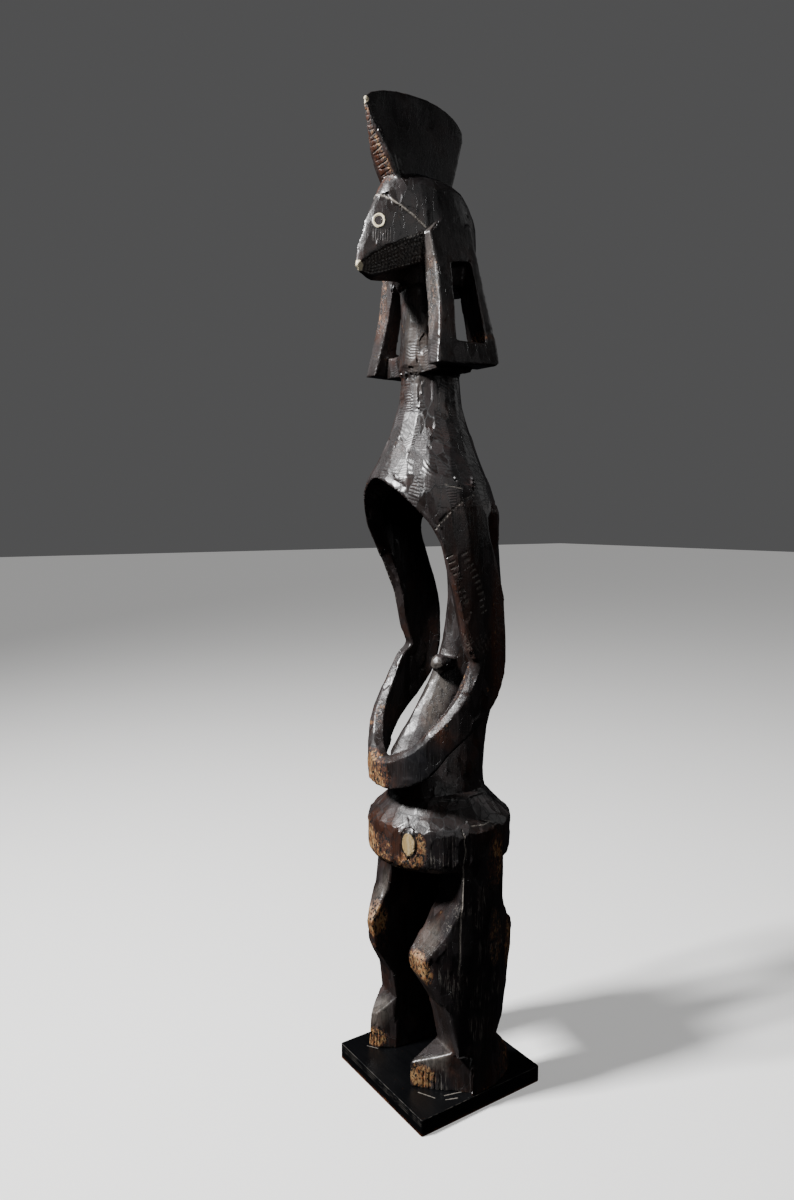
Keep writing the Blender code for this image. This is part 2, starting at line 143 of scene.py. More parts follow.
def ramp(values: np.ndarray, low: float, high: float) -> np.ndarray:
    """Smooth rise from 0 at low to 1 at high."""
    share = np.clip((values - low) / (high - low), 0.0, 1.0)
    return share * share * (3.0 - 2.0 * share)


def above_sole(points: np.ndarray) -> np.ndarray:
    """Heights above the figure's sole, in millimetres."""
    return points[:, 2] / MM - SOLE_LEVEL


def turned(points: np.ndarray, degrees: float) -> np.ndarray:
    """Positions after a turn about the upright axis.

    Args:
        points: Positions, one row each.
        degrees: The turn, counted anticlockwise from above.

    Returns:
        The turned positions.
    """
    angle = math.radians(degrees)
    cosine, sine = math.cos(angle), math.sin(angle)
    return points @ np.array([[cosine, -sine, 0], [sine, cosine, 0], [0, 0, 1]]).T


def turned_back(points: np.ndarray, turn: Turn) -> np.ndarray:
    """Positions in a part's own frame, as they were before its turn."""
    return turned(points, -turn.value)


@dataclass(frozen=True)
class Stroke:
    """A cut, ridge or crack along a line on the surface; a depth below 0 stands out as a ridge.

    Sizes are in millimetres, and the points are those of a part before its turn.
    """

    points: tuple[Point, ...]
    width: float
    depth: float
    pale: float = 0.0
    beads: float = 0.0
    turn: Turn = Turn.PLATE
    mirrored: bool = False

    def lines(self) -> list[list[Vector]]:
        """The stroke's points in the plate's frame, in metres, once or on both sides."""
        sides = (1, -1) if self.mirrored else (1,)
        return [[self.turn.spin @ Vector((side * x, y, z)) * MM for x, y, z in self.points] for side in sides]


class Carving:
    """All strokes laid on to a surface, as close rows of points."""

    spacing: float = 0.0007

    def __init__(self, strokes: list[Stroke], skin: BVHTree) -> None:
        """Lay every stroke on to the skin.

        Args:
            strokes: What is to be cut.
            skin: The surface.
        """
        self.places: list[Vector] = []
        self.sizes: list[Point] = []
        for stroke in strokes:
            for line in stroke.lines():
                self._lay(stroke, line, skin)
        self.tree = KDTree(len(self.places))
        for number, place in enumerate(self.places):
            self.tree.insert(place, number)
        self.tree.balance()

    def _lay(self, stroke: Stroke, line: list[Vector], skin: BVHTree) -> None:
        """Put one line's points on the skin, each with its width, depth and paleness.

        Args:
            stroke: The stroke that the line belongs to.
            line: The line's corners.
            skin: The surface.
        """
        run = 0.0
        for start, end in zip(line, line[1:]):
            length = (end - start).length
            count = max(1, round(length / self.spacing))
            for step in range(count):
                share = step / count
                spot = skin.find_nearest(start.lerp(end, share))[0]
                beat = 1.0
                if stroke.beads:
                    beat = 0.5 + 0.5 * math.cos(2 * math.pi * (run + share * length) / (stroke.beads * MM))
                self.places.append(spot)
                self.sizes.append((stroke.width * MM, stroke.depth * MM * beat, stroke.pale * beat))
            run += length

    def cut(self, places: np.ndarray) -> tuple[np.ndarray, np.ndarray, np.ndarray]:
        """What the strokes do at each place.

        Args:
            places: Positions, in metres.

        Returns:
            How far each place is from the side of a stroke and the depth there, in metres, and how
            pale the stroke leaves it.
        """
        found = [self.tree.find(place) for place in places]
        gap = np.array([hit[2] for hit in found])
        size = np.array(self.sizes)[[hit[1] for hit in found]]
        near = 1.0 - ramp(gap / size[:, 0], 0.0, 1.0)
        return gap - size[:, 0], size[:, 1] * near, size[:, 2] * near


@dataclass(frozen=True)
class Patch:
    """A place where the patina is worn or the wood differs: a soft-edged ellipsoid, in millimetres."""

    centre: Point
    radii: Point
    strength: float = 1.0

    def share(self, points: np.ndarray) -> np.ndarray:
        """How much of the patch each position has, from 0 to its strength."""
        reach = np.linalg.norm((points - np.array(self.centre)) / np.array(self.radii), axis=1)
        return self.strength * (1.0 - ramp(reach, 0.55, 1.0))


@dataclass
class Sheet:
    """A node tree that is being laid out."""

    tree: bpy.types.NodeTree

    def put(self, kind: str, inputs: dict | None = None, **settings: object) -> bpy.types.Node:
        """Add a node.

        Args:
            kind: The node's type, without its Shader prefix or whole.
            inputs: Values, or sockets to link from, by the input's name or number.
            settings: The node's own properties.

        Returns:
            The node.
        """
        node = self.tree.nodes.new(kind if kind.startswith("Node") else "ShaderNode" + kind)
        node.location = (190.0 * (len(self.tree.nodes) % 9), -230.0 * (len(self.tree.nodes) // 9))
        for name, value in settings.items():
            setattr(node, name, value)
        self.feed(node, inputs or {})
        return node

    def feed(self, node: bpy.types.Node, inputs: dict) -> None:
        """Link or set a node's inputs.

        Args:
            node: The node.
            inputs: Values, or sockets to link from, by the input's name or number.
        """
        for key, value in inputs.items():
            if isinstance(value, Socket):
                self.tree.links.new(value, node.inputs[key])
            else:
                node.inputs[key].default_value = value

    def effect(self, group: bpy.types.NodeTree, inputs: dict) -> bpy.types.bpy_prop_collection:
        """The outputs of a shared group for these inputs."""
        return self.put("Group", inputs, node_tree=group).outputs

    def math(self, operation: str, a: object, b: object = 0.0, clamp: bool = False) -> Socket:
        """A Math node's result for two values or sockets."""
        return self.put("Math", {0: a, 1: b}, operation=operation, use_clamp=clamp).outputs[0]

    def plus(self, *terms: object, clamp: bool = False) -> Socket:
        """The sum of values or sockets.

        Args:
            terms: What is added.
            clamp: Whether the sum is held between 0 and 1.

        Returns:
            The sum.
        """
        total = terms[0]
        for term in terms[1:-1]:
            total = self.math("ADD", total, term)
        return self.math("ADD", total, terms[-1], clamp)

    def minus(self, a: object, b: object, clamp: bool = False) -> Socket:
        """The first value or socket less the second."""
        return self.math("SUBTRACT", a, b, clamp)

    def times(self, *factors: object) -> Socket:
        """The product of values or sockets.

        Args:
            factors: What is multiplied.

        Returns:
            The product.
        """
        product = factors[0]
        for factor in factors[1:]:
            product = self.math("MULTIPLY", product, factor)
        return product

    def larger(self, a: object, b: object) -> Socket:
        """The larger of two values or sockets."""
        return self.math("MAXIMUM", a, b)

    def mix(self, share: object, a: object, b: object) -> Socket:
        """Colour a turning into colour b as the share goes from 0 to 1."""
        return self.put("Mix", {0: share, 6: a, 7: b}, data_type="RGBA").outputs[2]

    def spread(self, value: object, low: float, high: float, start: float = 0.0, end: float = 1.0) -> Socket:
        """The value's span from low to high, eased on to start to end."""
        inputs = {0: value, 1: low, 2: high, 3: start, 4: end}
        return self.put("MapRange", inputs, interpolation_type="SMOOTHSTEP").outputs[0]

    def vector(self, operation: str, a: object, b: object) -> Socket:
        """A Vector Math node's vector for two vectors or sockets."""
        return self.put("VectorMath", {0: a, 1: b}, operation=operation).outputs[0]

    def scaled(self, place: object, factor: object) -> Socket:
        """The vector times one factor."""
        return self.put("VectorMath", {0: place, "Scale": factor}, operation="SCALE").outputs[0]

    def measure(self, operation: str, a: object, b: object = ORIGIN) -> Socket:
        """A Vector Math node's plain value for two vectors or sockets."""
        return self.put("VectorMath", {0: a, 1: b}, operation=operation).outputs["Value"]

    def noise(self, place: object, scale: float, detail: float = 4.0, roughness: float = 0.55) -> Socket:
        """Noise over a place, about 0.5."""
        inputs = {"Vector": place, "Scale": scale, "Detail": detail, "Roughness": roughness}
        return self.put("TexNoise", inputs).outputs["Fac"]

    def stretched(self, place: object, scale: Point) -> Socket:
        """The place with each axis scaled."""
        return self.put("Mapping", {0: place, 3: scale}).outputs[0]


class Effects:
    """Node groups shared by the woods: each gives values that change over the surface."""

    def __init__(self) -> None:
        """Build every group once."""
        self.grain = self._grain()
        self.facets = self._facets()
        self.worn = self._worn()
        self.streak = self._streak()
        self.ring = self._ring()

    @staticmethod
    def _group(name: str, takes: dict, gives: tuple[str, ...]) -> tuple[Sheet, bpy.types.bpy_prop_collection]:
        """An empty group with its sockets.

        Args:
            name: The group's name.
            takes: For each input its first value, a number or a vector.
            gives: The names of its outputs, each a number.

        Returns:
            The group's sheet and the sockets of its input node.
        """
        tree = bpy.data.node_groups.new(name, "ShaderNodeTree")
        for socket, value in takes.items():
            kind = "NodeSocketFloat" if isinstance(value, float) else "NodeSocketVector"
            tree.interface.new_socket(name=socket, in_out="INPUT", socket_type=kind).default_value = value
        for socket in gives:
            tree.interface.new_socket(name=socket, in_out="OUTPUT", socket_type="NodeSocketFloat")
        sheet = Sheet(tree)
        return sheet, sheet.put("NodeGroupInput").outputs

    def _grain(self) -> bpy.types.NodeTree:
        """Wood fibres and fine drying cracks along an upright log.

        Returns:
            The group.
        """
        sheet, given = self._group("Wood Grain", {"Place": ORIGIN, "Fineness": 1.0}, ("Fibre", "Crack"))
        place = sheet.scaled(given["Place"], given["Fineness"])
        fibre = sheet.noise(sheet.stretched(place, (1.0, 1.0, 0.045)), 620.0, 5.0, 0.6)
        broad = sheet.noise(sheet.stretched(place, (1.0, 1.0, 0.06)), 120.0, 4.0, 0.55)
        crack = sheet.math("ABSOLUTE", sheet.minus(broad, 0.5))
        gate = sheet.spread(sheet.noise(place, 18.0, 2.0), 0.47, 0.60)
        line = sheet.times(sheet.spread(crack, 0.0, 0.022, 1.0, 0.0), gate)
        sheet.put("NodeGroupOutput", {"Fibre": fibre, "Crack": line})
        return sheet.tree

    def _facets(self) -> bpy.types.NodeTree:
        """Small flats that a blade leaves up the grain, each leaning its own way, rippled across.

        Returns:
            The group.
        """
        sheet, given = self._group(
            "Blade Facets",
            {"Place": ORIGIN, "Per Metre": 90.0, "Slimness": 0.36},
            ("Lean", "Ripple", "Tone", "Seam"),
        )
        place = given["Place"]
        wander = sheet.put("TexNoise", {"Vector": place, "Scale": 70.0, "Detail": 2.0}).outputs["Color"]
        squeeze = sheet.put("CombineXYZ", {0: 1.0, 1: 1.0, 2: given["Slimness"]}).outputs[0]
        cells = sheet.scaled(sheet.vector("MULTIPLY", place, squeeze), given["Per Metre"])
        cells = sheet.vector("ADD", cells, sheet.scaled(wander, 0.5))
        lattice = {"Vector": cells, "Scale": 1.0, "Randomness": 0.9}
        cell = sheet.put("TexVoronoi", lattice, feature="F1").outputs
        border = sheet.put("TexVoronoi", lattice, feature="DISTANCE_TO_EDGE").outputs["Distance"]
        tilt = sheet.vector("SUBTRACT", cell["Color"], (0.5, 0.5, 0.5))
        lean = sheet.measure("DOT_PRODUCT", sheet.vector("SUBTRACT", cells, cell["Position"]), tilt)
        tone = sheet.put("SeparateColor", {0: cell["Color"]}).outputs
        level = sheet.measure("DOT_PRODUCT", place, sheet.vector("ADD", tilt, (0.0, 0.0, 1.0)))
        phase = sheet.plus(sheet.times(tone[0], 40.0), sheet.times(sheet.noise(place, 75.0, 2.0), 7.0))
        wave = sheet.math("SINE", sheet.plus(sheet.times(level, 1550.0), phase))
        some = sheet.spread(sheet.noise(place, 60.0, 3.0), 0.32, 0.52)
        gate = sheet.times(sheet.spread(tone[1], 0.10, 0.45), some)
        sheet.put("NodeGroupOutput", {
            "Lean": lean, "Ripple": sheet.times(wave, gate), "Tone": tone[2],
            "Seam": sheet.spread(border, 0.0, 0.07, 1.0, 0.0),
        })
        return sheet.tree

    def _worn(self) -> bpy.types.NodeTree:
        """How a worn place breaks up: brown wood under the patina, bare crumbling wood and pits.

        Returns:
            The group.
        """
        sheet, given = self._group(
            "Worn Patina", {"Place": ORIGIN, "Wear": 0.0, "Fineness": 1.0}, ("Brown", "Bare", "Pit"),
        )
        wear = given["Wear"]
        place = sheet.scaled(given["Place"], given["Fineness"])
        speck = sheet.noise(sheet.stretched(place, (1.0, 1.0, 0.6)), 300.0, 5.0, 0.7)
        cloud = sheet.noise(place, 50.0, 3.0)
        uneven = sheet.minus(sheet.plus(sheet.times(speck, 0.6), sheet.times(cloud, 0.4)), 0.5)
        brown = sheet.plus(wear, sheet.times(uneven, 1.9))
        bare = sheet.plus(wear, sheet.times(uneven, 4.5))
        holes = sheet.noise(sheet.stretched(place, (1.0, 1.0, 0.5)), 360.0, 3.0, 0.6)
        pit = sheet.times(sheet.spread(holes, 0.42, 0.49, 1.0, 0.0), sheet.spread(wear, 0.1, 0.4))
        sheet.put("NodeGroupOutput", {
            "Brown": sheet.spread(brown, 0.28, 0.58), "Bare": sheet.spread(bare, 0.62, 1.05), "Pit": pit,
        })
        return sheet.tree

    def _streak(self) -> bpy.types.NodeTree:
        """A broken streak along a straight line.

        Returns:
            The group.
        """
        sheet, given = self._group(
            "Streak", {"Place": ORIGIN, "Start": ORIGIN, "Run": ORIGIN, "Width": 0.001}, ("Streak",),
        )
        run = given["Run"]
        apart = sheet.vector("SUBTRACT", given["Place"], given["Start"])
        along = sheet.measure("DOT_PRODUCT", apart, run)
        share = sheet.math("DIVIDE", along, sheet.measure("DOT_PRODUCT", run, run), clamp=True)
        gap = sheet.measure("DISTANCE", apart, sheet.scaled(run, share))
        rough = sheet.times(sheet.noise(given["Place"], 260.0, 4.0), 2.4)
        near = sheet.minus(sheet.math("DIVIDE", gap, given["Width"]), rough)
        sheet.put("NodeGroupOutput", {"Streak": sheet.spread(near, -0.5, -0.1, 1.0, 0.0)})
        return sheet.tree

    def _ring(self) -> bpy.types.NodeTree:
        """A painted oval ring about a centre, in the plane of two directions.

        Returns:
            The group.
        """
        sheet, given = self._group(
            "Painted Ring",
            {
                "Place": ORIGIN, "Centre": ORIGIN, "Across": (1.0, 0.0, 0.0), "Up": (0.0, 0.0, 1.0),
                "Half Width": 0.006, "Half Height": 0.008, "Stroke": 0.21,
            },
            ("Ring", "Inside"),
        )
        apart = sheet.vector("SUBTRACT", given["Place"], given["Centre"])
        spans = []
        for direction, half in (("Across", "Half Width"), ("Up", "Half Height")):
            run = sheet.measure("DOT_PRODUCT", apart, given[direction])
            spans.append(sheet.math("POWER", sheet.math("DIVIDE", run, given[half]), 2.0))
        reach = sheet.math("SQRT", sheet.plus(*spans))
        rough = sheet.times(sheet.minus(sheet.noise(given["Place"], 420.0, 3.0), 0.5), 0.22)
        off = sheet.math("ABSOLUTE", sheet.plus(sheet.minus(reach, 1.0), rough))
        length = sheet.measure("LENGTH", apart)
        near = sheet.spread(sheet.math("DIVIDE", length, given["Half Height"]), 1.9, 2.2, 1.0, 0.0)
        edge = sheet.minus(sheet.math("DIVIDE", off, given["Stroke"]), 1.0)
        sheet.put("NodeGroupOutput", {
            "Ring": sheet.times(sheet.spread(edge, -0.12, 0.12, 1.0, 0.0), near),
            "Inside": sheet.times(sheet.spread(reach, 0.80, 0.92, 1.0, 0.0), near),
        })
        return sheet.tree


@dataclass(frozen=True)
class Oval:
    """Place of an eye or of the boss: its centre and the directions across and up it, in metres."""

    centre: Point
    across: Point
    up: Point


@dataclass
class WoodReads:
    """What the figure's finish reads over its surface."""

    place: Socket
    rise: Socket
    pale: Socket
    soot_and_shade: Socket
    brown: Socket
    slab: Socket
    cut: Socket
    split: Socket
    ripple: Socket
    grain: bpy.types.bpy_prop_collection
    flats: bpy.types.bpy_prop_collection
    worn: bpy.types.bpy_prop_collection


@dataclass(frozen=True)
class FigureWood:
    """Near-black patina on hardwood: glossy on its cuts, brown and tan where it is worn."""

    eyes: tuple[Oval, ...]
    mouth: Point
    crest_tip: Point
    boss: Oval
    mouth_reach: float = 0.0074
    tip_reach: float = 0.0042
    boss_half_width: float = 0.0095
    boss_half_height: float = 0.0155
    eye_half_width: float = 0.0058
    eye_half_height: float = 0.0068
    roughness: float = 0.29
    specular: float = 0.40
    coat: float = 0.22
    coat_roughness: float = 0.28
    lean: float = 2.2
    ripple: float = 0.11
    fibre: float = 0.17
    crack: float = 0.30
    pit: float = 0.30

    def make(self, effects: Effects) -> bpy.types.Material:
        """Build the finish.

        Args:
            effects: The shared node groups.

        Returns:
            The material.
        """
        material = bpy.data.materials.new("carved_patina")
        material.use_nodes = True
        sheet = Sheet(material.node_tree)
        reads = self._reads(sheet, effects)
        dark = self._hollows(sheet, reads)
        colour = sheet.mix(dark, self._patina(sheet, reads, effects), rgba(Tone.BLACK))
        rough = sheet.larger(reads.worn["Brown"], dark)
        bump = sheet.put("Bump", {"Height": self._height(sheet, reads), "Distance": MM, "Strength": 1.0})
        glazed = sheet.minus(1.0, sheet.larger(reads.soot_and_shade, rough), clamp=True)
        sheet.feed(material.node_tree.nodes["Principled BSDF"], {
            "Base Color": self._pigment(sheet, reads, colour, effects),
            "Roughness": self._gloss(sheet, reads, rough),
            "Normal": bump.outputs[0],
            "Specular IOR Level": self.specular,
            "Coat Roughness": self.coat_roughness,
            "Coat Weight": sheet.times(glazed, self.coat),
        })
        return material

    @staticmethod
    def _reads(sheet: Sheet, effects: Effects) -> WoodReads:
        """Read the surface's attributes and lay the shared groups on it.

        Args:
            sheet: The material's sheet.
            effects: The shared node groups.

        Returns:
            All that the finish reads. Drying cracks fade on cut flats and towards the head, and only
            the bell of the shoulders is strongly rippled.
        """
        place = sheet.put("TexCoord").outputs["Object"]
        rise = sheet.put("SeparateXYZ", {0: place}).outputs[2]
        finish = sheet.put("Attribute", attribute_name="Finish").outputs
        wear, pale, soot_and_shade = sheet.put("SeparateColor", {0: finish["Color"]}).outputs
        facet = sheet.put("Attribute", attribute_name="Facet").outputs
        slab = sheet.put("SeparateColor", {0: facet["Color"]}).outputs[0]
        grain = sheet.effect(effects.grain, {"Place": place})
        flats = sheet.effect(effects.facets, {"Place": place})
        worn = sheet.effect(effects.worn, {"Place": place, "Wear": wear})
        uncut = sheet.minus(1.0, sheet.times(facet["Alpha"], 0.85))
        split = sheet.times(grain["Crack"], uncut, sheet.spread(rise, 0.70, 0.90, 1.0, 0.25))
        bell_foot = sheet.spread(rise, 0.68, 0.72, 0.2, 1.0)
        on_bell = sheet.times(bell_foot, sheet.spread(rise, 0.885, 0.91, 1.0, 0.2))
        ripple = sheet.times(flats["Ripple"], on_bell)
        return WoodReads(
            place, rise, pale, soot_and_shade, finish["Alpha"], slab, facet["Alpha"], split, ripple, grain, flats, worn,
        )

    @staticmethod
    def _hollows(sheet: Sheet, reads: WoodReads) -> Socket:
        """Where cracks, pits, facet seams and the valleys of the ripples stay dark.

        Args:
            sheet: The material's sheet.
            reads: What the finish reads.

        Returns:
            How dark each point is, from 0 to 1.
        """
        dark = sheet.larger(sheet.times(reads.split, 0.9), reads.worn["Pit"])
        dark = sheet.larger(dark, sheet.times(reads.flats["Seam"], reads.cut, 0.8))
        valley = sheet.spread(reads.ripple, -0.9, -0.35, 1.0, 0.0)
        return sheet.larger(dark, sheet.times(valley, reads.cut, 0.55))

    @staticmethod
    def _patina(sheet: Sheet, reads: WoodReads, effects: Effects) -> Socket:
        """The wood's colour, from soot, painted shade and patina to brown and bare wood, pale dust and
        painted light.

        Args:
            sheet: The material's sheet.
            reads: What the finish reads.
            effects: The shared node groups.

        Returns:
            The colour.
        """
        place = reads.place
        fibre = reads.grain["Fibre"]
        cloud = sheet.noise(place, 26.0, 5.0, 0.6)
        tone = sheet.plus(sheet.times(fibre, 0.55), sheet.times(reads.flats["Tone"], 0.35))
        colour = sheet.mix(sheet.spread(tone, 0.30, 0.75), rgba(Tone.DARK), rgba(Tone.GREY))
        blush = sheet.plus(sheet.spread(cloud, 0.48, 0.68, 0.0, 0.40), reads.brown, clamp=True)
        blush = sheet.times(blush, sheet.spread(fibre, 0.25, 0.60, 0.45, 1.0))
        colour = sheet.mix(blush, colour, rgba(Tone.RED_BROWN))
        colour = sheet.mix(reads.worn["Brown"], colour, rgba(Tone.RED_BROWN))
        dry = sheet.spread(sheet.noise(place, 210.0, 4.0), 0.38, 0.62)
        bare = sheet.mix(dry, rgba(Tone.ORANGE), rgba(Tone.TAN))
        colour = sheet.mix(sheet.times(reads.worn["Bare"], 0.9), colour, bare)
        # Soot and painted shade: charcoal on the crest's sides, painted shade on the jaw band and in the
        # shaded patches.
        soot_and_shade_tone = sheet.mix(sheet.spread(cloud, 0.38, 0.62), rgba(Tone.JET), rgba(Tone.BLUE_BLACK))
        colour = sheet.mix(sheet.times(reads.soot_and_shade, 0.92), colour, soot_and_shade_tone)
        hairs = sheet.effect(effects.grain, {"Place": place, "Fineness": 1.5})["Crack"]
        low = sheet.spread(reads.rise, 0.30, 0.35, 0.6, 0.0)
        colour = sheet.mix(sheet.times(hairs, reads.soot_and_shade, low), colour, rgba(Tone.PALE))
        # Pale marks: light cuts and dust, and painted light on the key-lit fronts.
        speck = sheet.noise(sheet.stretched(place, (1.0, 1.0, 0.5)), 320.0, 3.0)
        dust_and_painted_light = sheet.times(reads.pale, sheet.spread(speck, 0.36, 0.56, 0.6, 1.0))
        return sheet.mix(dust_and_painted_light, colour, rgba(Tone.PALE))

    @staticmethod
    def _oval(
        sheet: Sheet, effects: Effects, place: Socket, oval: Oval, sizes: dict,
    ) -> bpy.types.bpy_prop_collection:
        """A painted ring's mask and its inside, laid on an oval."""
        where = {"Place": place, "Centre": oval.centre, "Across": oval.across, "Up": oval.up}
        return sheet.effect(effects.ring, {**where, **sizes})

    def _pigment(self, sheet: Sheet, reads: WoodReads, colour: Socket, effects: Effects) -> Socket:
        """The cream eye rings and spots and the boss's pale face, over the wood.

        Args:
            sheet: The material's sheet.
            reads: What the finish reads.
            colour: The wood's colour.
            effects: The shared node groups.

        Returns:
            The colour with the pigment on it.
        """
        place = reads.place
        sizes = {"Half Width": self.eye_half_width, "Half Height": self.eye_half_height}
        for eye in self.eyes:
            ring = self._oval(sheet, effects, place, eye, sizes)
            colour = sheet.mix(sheet.times(ring["Inside"], 0.6), colour, rgba(Tone.GREY))
            colour = sheet.mix(ring["Ring"], colour, rgba(Tone.CREAM))
        sizes = {"Half Width": self.boss_half_width, "Half Height": self.boss_half_height, "Stroke": 0.12}
        knot = self._oval(sheet, effects, place, self.boss, sizes)
        flecks = sheet.noise(sheet.stretched(place, (1.0, 1.0, 0.3)), 260.0, 4.0)
        face = sheet.mix(sheet.spread(flecks, 0.38, 0.60, 0.0, 0.25), rgba(Tone.BONE), rgba(Tone.CREAM))
        colour = sheet.mix(sheet.times(knot["Inside"], 0.85), colour, face)
        colour = sheet.mix(sheet.times(knot["Ring"], 0.85), colour, rgba(Tone.BLACK))
        for spot, reach in ((self.mouth, self.mouth_reach), (self.crest_tip, self.tip_reach)):
            ragged = sheet.times(sheet.minus(sheet.noise(place, 300.0, 3.0), 0.5), 0.0024)
            apart = sheet.plus(sheet.measure("DISTANCE", place, spot), ragged)
            colour = sheet.mix(sheet.spread(apart, reach * 0.82, reach, 1.0, 0.0), colour, rgba(Tone.CREAM))
        return colour

    def _gloss(self, sheet: Sheet, reads: WoodReads, rough: Socket) -> Socket:
        """How dull the wood is: least on its cuts, most where it is worn or hollow.

        Args:
            sheet: The material's sheet.
            reads: What the finish reads.
            rough: Where it is worn or hollow.

        Returns:
            The roughness.
        """
        return sheet.plus(
            self.roughness - 0.12,
            sheet.times(reads.flats["Tone"], 0.12),
            sheet.times(sheet.noise(reads.place, 120.0, 5.0, 0.65), 0.20),
            sheet.times(reads.slab, 0.05),
            sheet.times(rough, 0.30),
            sheet.times(reads.soot_and_shade, 0.06),
            clamp=True,
        )

    def _height(self, sheet: Sheet, reads: WoodReads) -> Socket:
        """The finest relief: small flats and ripples on the cuts, fibres, drying cracks and pits.

        Args:
            sheet: The material's sheet.
            reads: What the finish reads.

        Returns:
            The height, in millimetres.
        """
        off_head = sheet.spread(reads.rise, 0.99, 1.02, 1.0, 0.3)
        leaning = sheet.times(reads.flats["Lean"], off_head, self.lean)
        height = sheet.times(sheet.plus(leaning, sheet.times(reads.ripple, self.ripple)), reads.cut)
        height = sheet.plus(
            height,
            sheet.times(reads.grain["Fibre"], self.fibre),
            sheet.times(sheet.noise(reads.place, 300.0, 4.0, 0.6), self.fibre),
        )
        height = sheet.minus(height, sheet.times(reads.split, self.crack))
        return sheet.minus(height, sheet.times(reads.worn["Pit"], self.pit))


@dataclass(frozen=True)
class PlatePaint:
    """Black paint on a board, with fine saw lines and brown wood at its worn edges."""

    half_width: float
    thickness: float
    roughness: float = 0.30
    specular: float = 0.35
    worn_height: float = 0.007
    saw_lines: tuple[float, ...] = (0.0172, 0.0148, 0.0125)
    glue_width: float = 0.0007
    glue: tuple = (
        ((0.047, -0.064, 0.02), (0.066, -0.054, 0.02)), ((0.069, -0.042, 0.02), (0.075, -0.021, 0.02)),
        ((0.076, -0.045, 0.02), (0.081, -0.032, 0.02)), ((-0.065, -0.065, 0.02), (-0.053, -0.057, 0.02)),
    )

    def make(self, effects: Effects) -> bpy.types.Material:
        """Build the finish.

        Args:
            effects: The shared node groups.

        Returns:
            The material.
        """
        material = bpy.data.materials.new("black_board")
        material.use_nodes = True
        sheet = Sheet(material.node_tree)
        place = sheet.put("TexCoord").outputs["Object"]
        lying = sheet.put("Mapping", {0: place, 2: (0.0, math.pi / 2, 0.0)}).outputs[0]
        fibre = sheet.effect(effects.grain, {"Place": lying, "Fineness": 0.8})["Fibre"]
        _, deep, up = sheet.put("SeparateXYZ", {0: place}).outputs
        low = sheet.spread(up, 0.0, self.worn_height, 1.0, 0.0)
        worn = sheet.effect(effects.worn, {"Place": place, "Wear": sheet.times(low, 0.78)})
        colour = sheet.mix(sheet.spread(fibre, 0.35, 0.75, 0.0, 0.6), rgba(Tone.JET), rgba(Tone.BLACK))
        colour = sheet.mix(worn["Brown"], colour, rgba(Tone.RED_BROWN))
        colour = sheet.mix(sheet.times(worn["Bare"], 0.5), colour, rgba(Tone.ORANGE))
        broken = sheet.spread(sheet.noise(place, 90.0, 5.0, 0.7), 0.44, 0.58)
        front = sheet.spread(deep, -self.half_width, -self.half_width + 0.0012, 1.0, 0.0)
        for level in self.saw_lines:
            off = sheet.math("ABSOLUTE", sheet.minus(up, level))
            line = sheet.times(sheet.spread(off, 0.0, 0.0005, 1.0, 0.0), front, broken, 0.22)
            colour = sheet.mix(line, colour, rgba(Tone.PALE))
        top = sheet.spread(up, self.thickness - 0.0002, self.thickness)
        rim = sheet.spread(up, self.thickness - 0.0008, self.thickness - 0.0003)
        rim = sheet.times(rim, sheet.minus(1.0, top), broken, 0.16)
        colour = sheet.mix(rim, colour, rgba(Tone.PALE))
        for start, end in self.glue:
            run = Vector(end) - Vector(start)
            smear = {"Place": place, "Start": start, "Run": run, "Width": self.glue_width}
            streak = sheet.effect(effects.streak, smear)["Streak"]
            colour = sheet.mix(sheet.times(streak, 0.38), colour, rgba(Tone.PALE))
        brushed = sheet.times(sheet.noise(place, 40.0, 6.0, 0.65), 0.20)
        height = sheet.plus(sheet.times(fibre, 0.5), sheet.noise(place, 260.0, 3.0))
        bump = sheet.put("Bump", {"Height": height, "Distance": 0.00012, "Strength": 0.8})
        sheet.feed(material.node_tree.nodes["Principled BSDF"], {
            "Base Color": colour,
            "Roughness": sheet.plus(self.roughness - 0.08, brushed),
            "Normal": bump.outputs[0],
            "Specular IOR Level": self.specular,
        })
        return material


